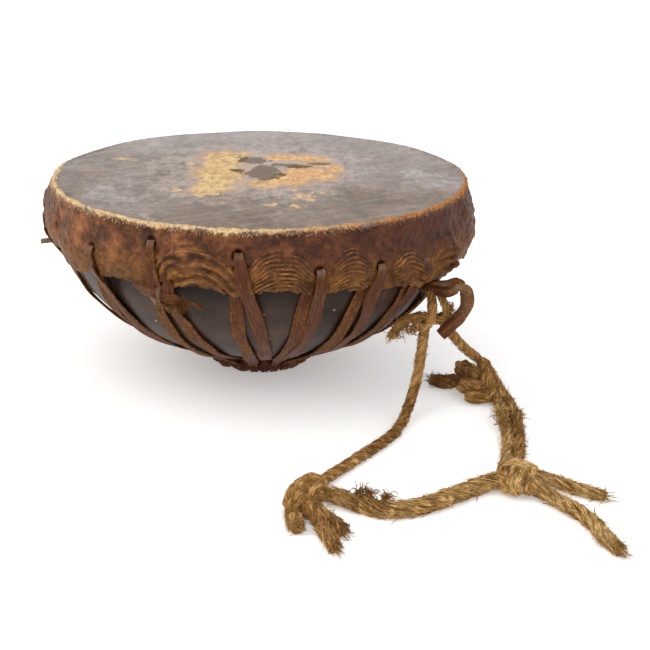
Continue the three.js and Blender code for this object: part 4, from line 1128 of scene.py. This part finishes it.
middle_knot = add_knot("knot_middle_turns", [
    (12, [(146, -46.5, 11), (150, -52, 12.5), (155, -59.5, 12.5), (161, -66, 11)]),
    (11.5, [(146, -68, 7), (151, -73.5, 8), (157, -77, 8), (163, -79, 7.5)]),
    (8.6, [(149, -81, 4.6), (154, -85, 5), (160, -85.5, 5.5), (165, -84, 6)]),
    (10.5, [(162, -54, 17), (164, -62, 15), (165, -73, 11), (164.5, -83, 7), (163, -90, 5.4)]),
    (8.4, [(159.5, -52, 21), (166, -57, 15.5), (170, -66, 11), (172.5, -76, 8), (174, -88, 6)])],
    160 * MM, BROWN_HEMP, 111, "knot_middle")
dark_end = add_tail("knot_middle_dark_end", [
    (149, -63, 8), (142, -58, 6), (135, -58.5, 5.2), (127, -52, 4.6)], 9 * MM, 9 * MM, DARK_HEMP, 115)

tie_knot = add_knot("tie_turns", [
    (6.2, [(115.5, -102.5, 56), (116.5, -102, 63), (120.3, -101, 70), (121, -98.5, 78), (120, -92, 84.5),
           (118, -86, 88)]),
    (5.4, [(125, -87, 88), (127, -94.5, 83), (130, -99, 77), (131.5, -98.5, 71.5), (127, -96, 67),
           (120, -97, 66), (114, -99, 66)]),
    (5.4, [(113, -97, 70), (110, -101.5, 69.5), (111.5, -103, 65), (116, -101.5, 63), (118, -98, 66)]),
    (5.4, [(119, -100, 70), (112, -101.5, 71), (105, -102, 69), (100, -103, 65.5)])],
    28 * MM, BROWN_HEMP, 121, "tie_knot")
tie_tail = add_tail("tie_frayed_end", [(103, -102.5, 67.5), (97.5, -103.5, 63), (93.5, -104.5, 57)],
                    5 * MM, 6 * MM, BROWN_HEMP, 125)
tie_tufts = tufts("tie_tufts", [(102, -103, 66), (97, -104, 61), (108, -103, 64), (131, -99, 75)],
                  [(-0.5, -0.3, -1), (-0.6, -0.2, -1), (-0.2, -0.5, -1), (0.8, -0.4, 0.3)],
                  70, 7 * MM, BROWN_HEMP, 126)

CORDS = [(rope_front, FRONT_ROUTE[0], 0.176, ROPE, "knot", "medium", "loose", front_path,
          [front_hair, *left_knot, *left_stub, *left_tails, *tie_knot, *tie_tail, tie_tufts]),
         (rope_near, near_path[0], 0.122, FRAYED_ROPE, "knot", "limp", "loose", near_path,
          [near_hair, near_tufts, *right_knot, *upper_tail, *lower_tail]),
         (rope_outer, outer_path[0], 0.130, STRAND, "knot", "limp", "loose", outer_path,
          [outer_hair, side_tufts, *middle_knot, *dark_end]),
         (rope_inner, inner_path[0], 0.127, STRAND, "knot", "limp", "loose", inner_path, [inner_hair]),
         (rope_back, BACK_ROUTE[0], 0.069, ROPE, "object", "medium", "hanging", back_path, [back_hair])]
for piece, leaves, length, diameter, far_end, stiffness, lay, path, with_pieces in CORDS:
    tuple(leaves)
    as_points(path)
    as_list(with_pieces)


# Studio: an opal light table that runs out of sight, lit softly from all round.
# Two large square lamps stand over it, the brighter one at the left.
FLOOR_HALF = 8.0
FLOOR_GLOW = 0.3
WORLD_STRENGTH = 0.95
# Lamps: name, place and aim in metres, width in metres, watts and colour
LAMPS = [("key", (-0.9, -0.6, 1.3), (0, 0, 0.05), 1.2, 9, "#fffaf2"),
         ("fill", (1.1, -1.2, 0.9), (0, -0.1, 0.05), 1.4, 4, "#f4f7ff")]


def light_table():
    """Opal light table: white and matt, lit a little from below, so that shadows on it stay faint."""
    material, tree, surface = start_material("opal_light_table")
    shader = add_node(tree, "BsdfPrincipled", {
        "Base Color": linear("#f4f4f3"), "Roughness": 0.95, "Specular IOR Level": 0.1,
        "Emission Color": linear("#ffffff"), "Emission Strength": FLOOR_GLOW})
    tree.links.new(shader, surface)
    return material


def add_light(name, place, aim, size, power, colour):
    """Square soft light at a place, turned to a point."""
    lamp = bpy.data.lights.new(name, "AREA")
    lamp.size, lamp.energy, lamp.color = size, power, linear(colour)[:3]
    light = bpy.data.objects.new(name, lamp)
    light.location = place
    light.rotation_mode = "QUATERNION"
    light.rotation_quaternion = (Vector(aim) - Vector(place)).to_track_quat("-Z", "Y")
    bpy.context.scene.collection.objects.link(light)


floor_mesh = bpy.data.meshes.new("floor")
corners = FLOOR_HALF * np.array([[-1, -1, 0], [1, -1, 0], [1, 1, 0], [-1, 1, 0]])
floor_mesh.from_pydata(corners.tolist(), [], [(0, 1, 2, 3)])
floor_mesh.materials.append(light_table())
floor = bpy.data.objects.new("floor", floor_mesh)
bpy.context.scene.collection.objects.link(floor)

world = bpy.data.worlds.new("studio")
world.use_nodes = True
world.node_tree.nodes["Background"].inputs["Color"].default_value = linear("#ffffff")
world.node_tree.nodes["Background"].inputs["Strength"].default_value = WORLD_STRENGTH
bpy.context.scene.world = world
bpy.context.scene.view_settings.view_transform = "Standard"
for lamp in LAMPS:
    add_light(*lamp)
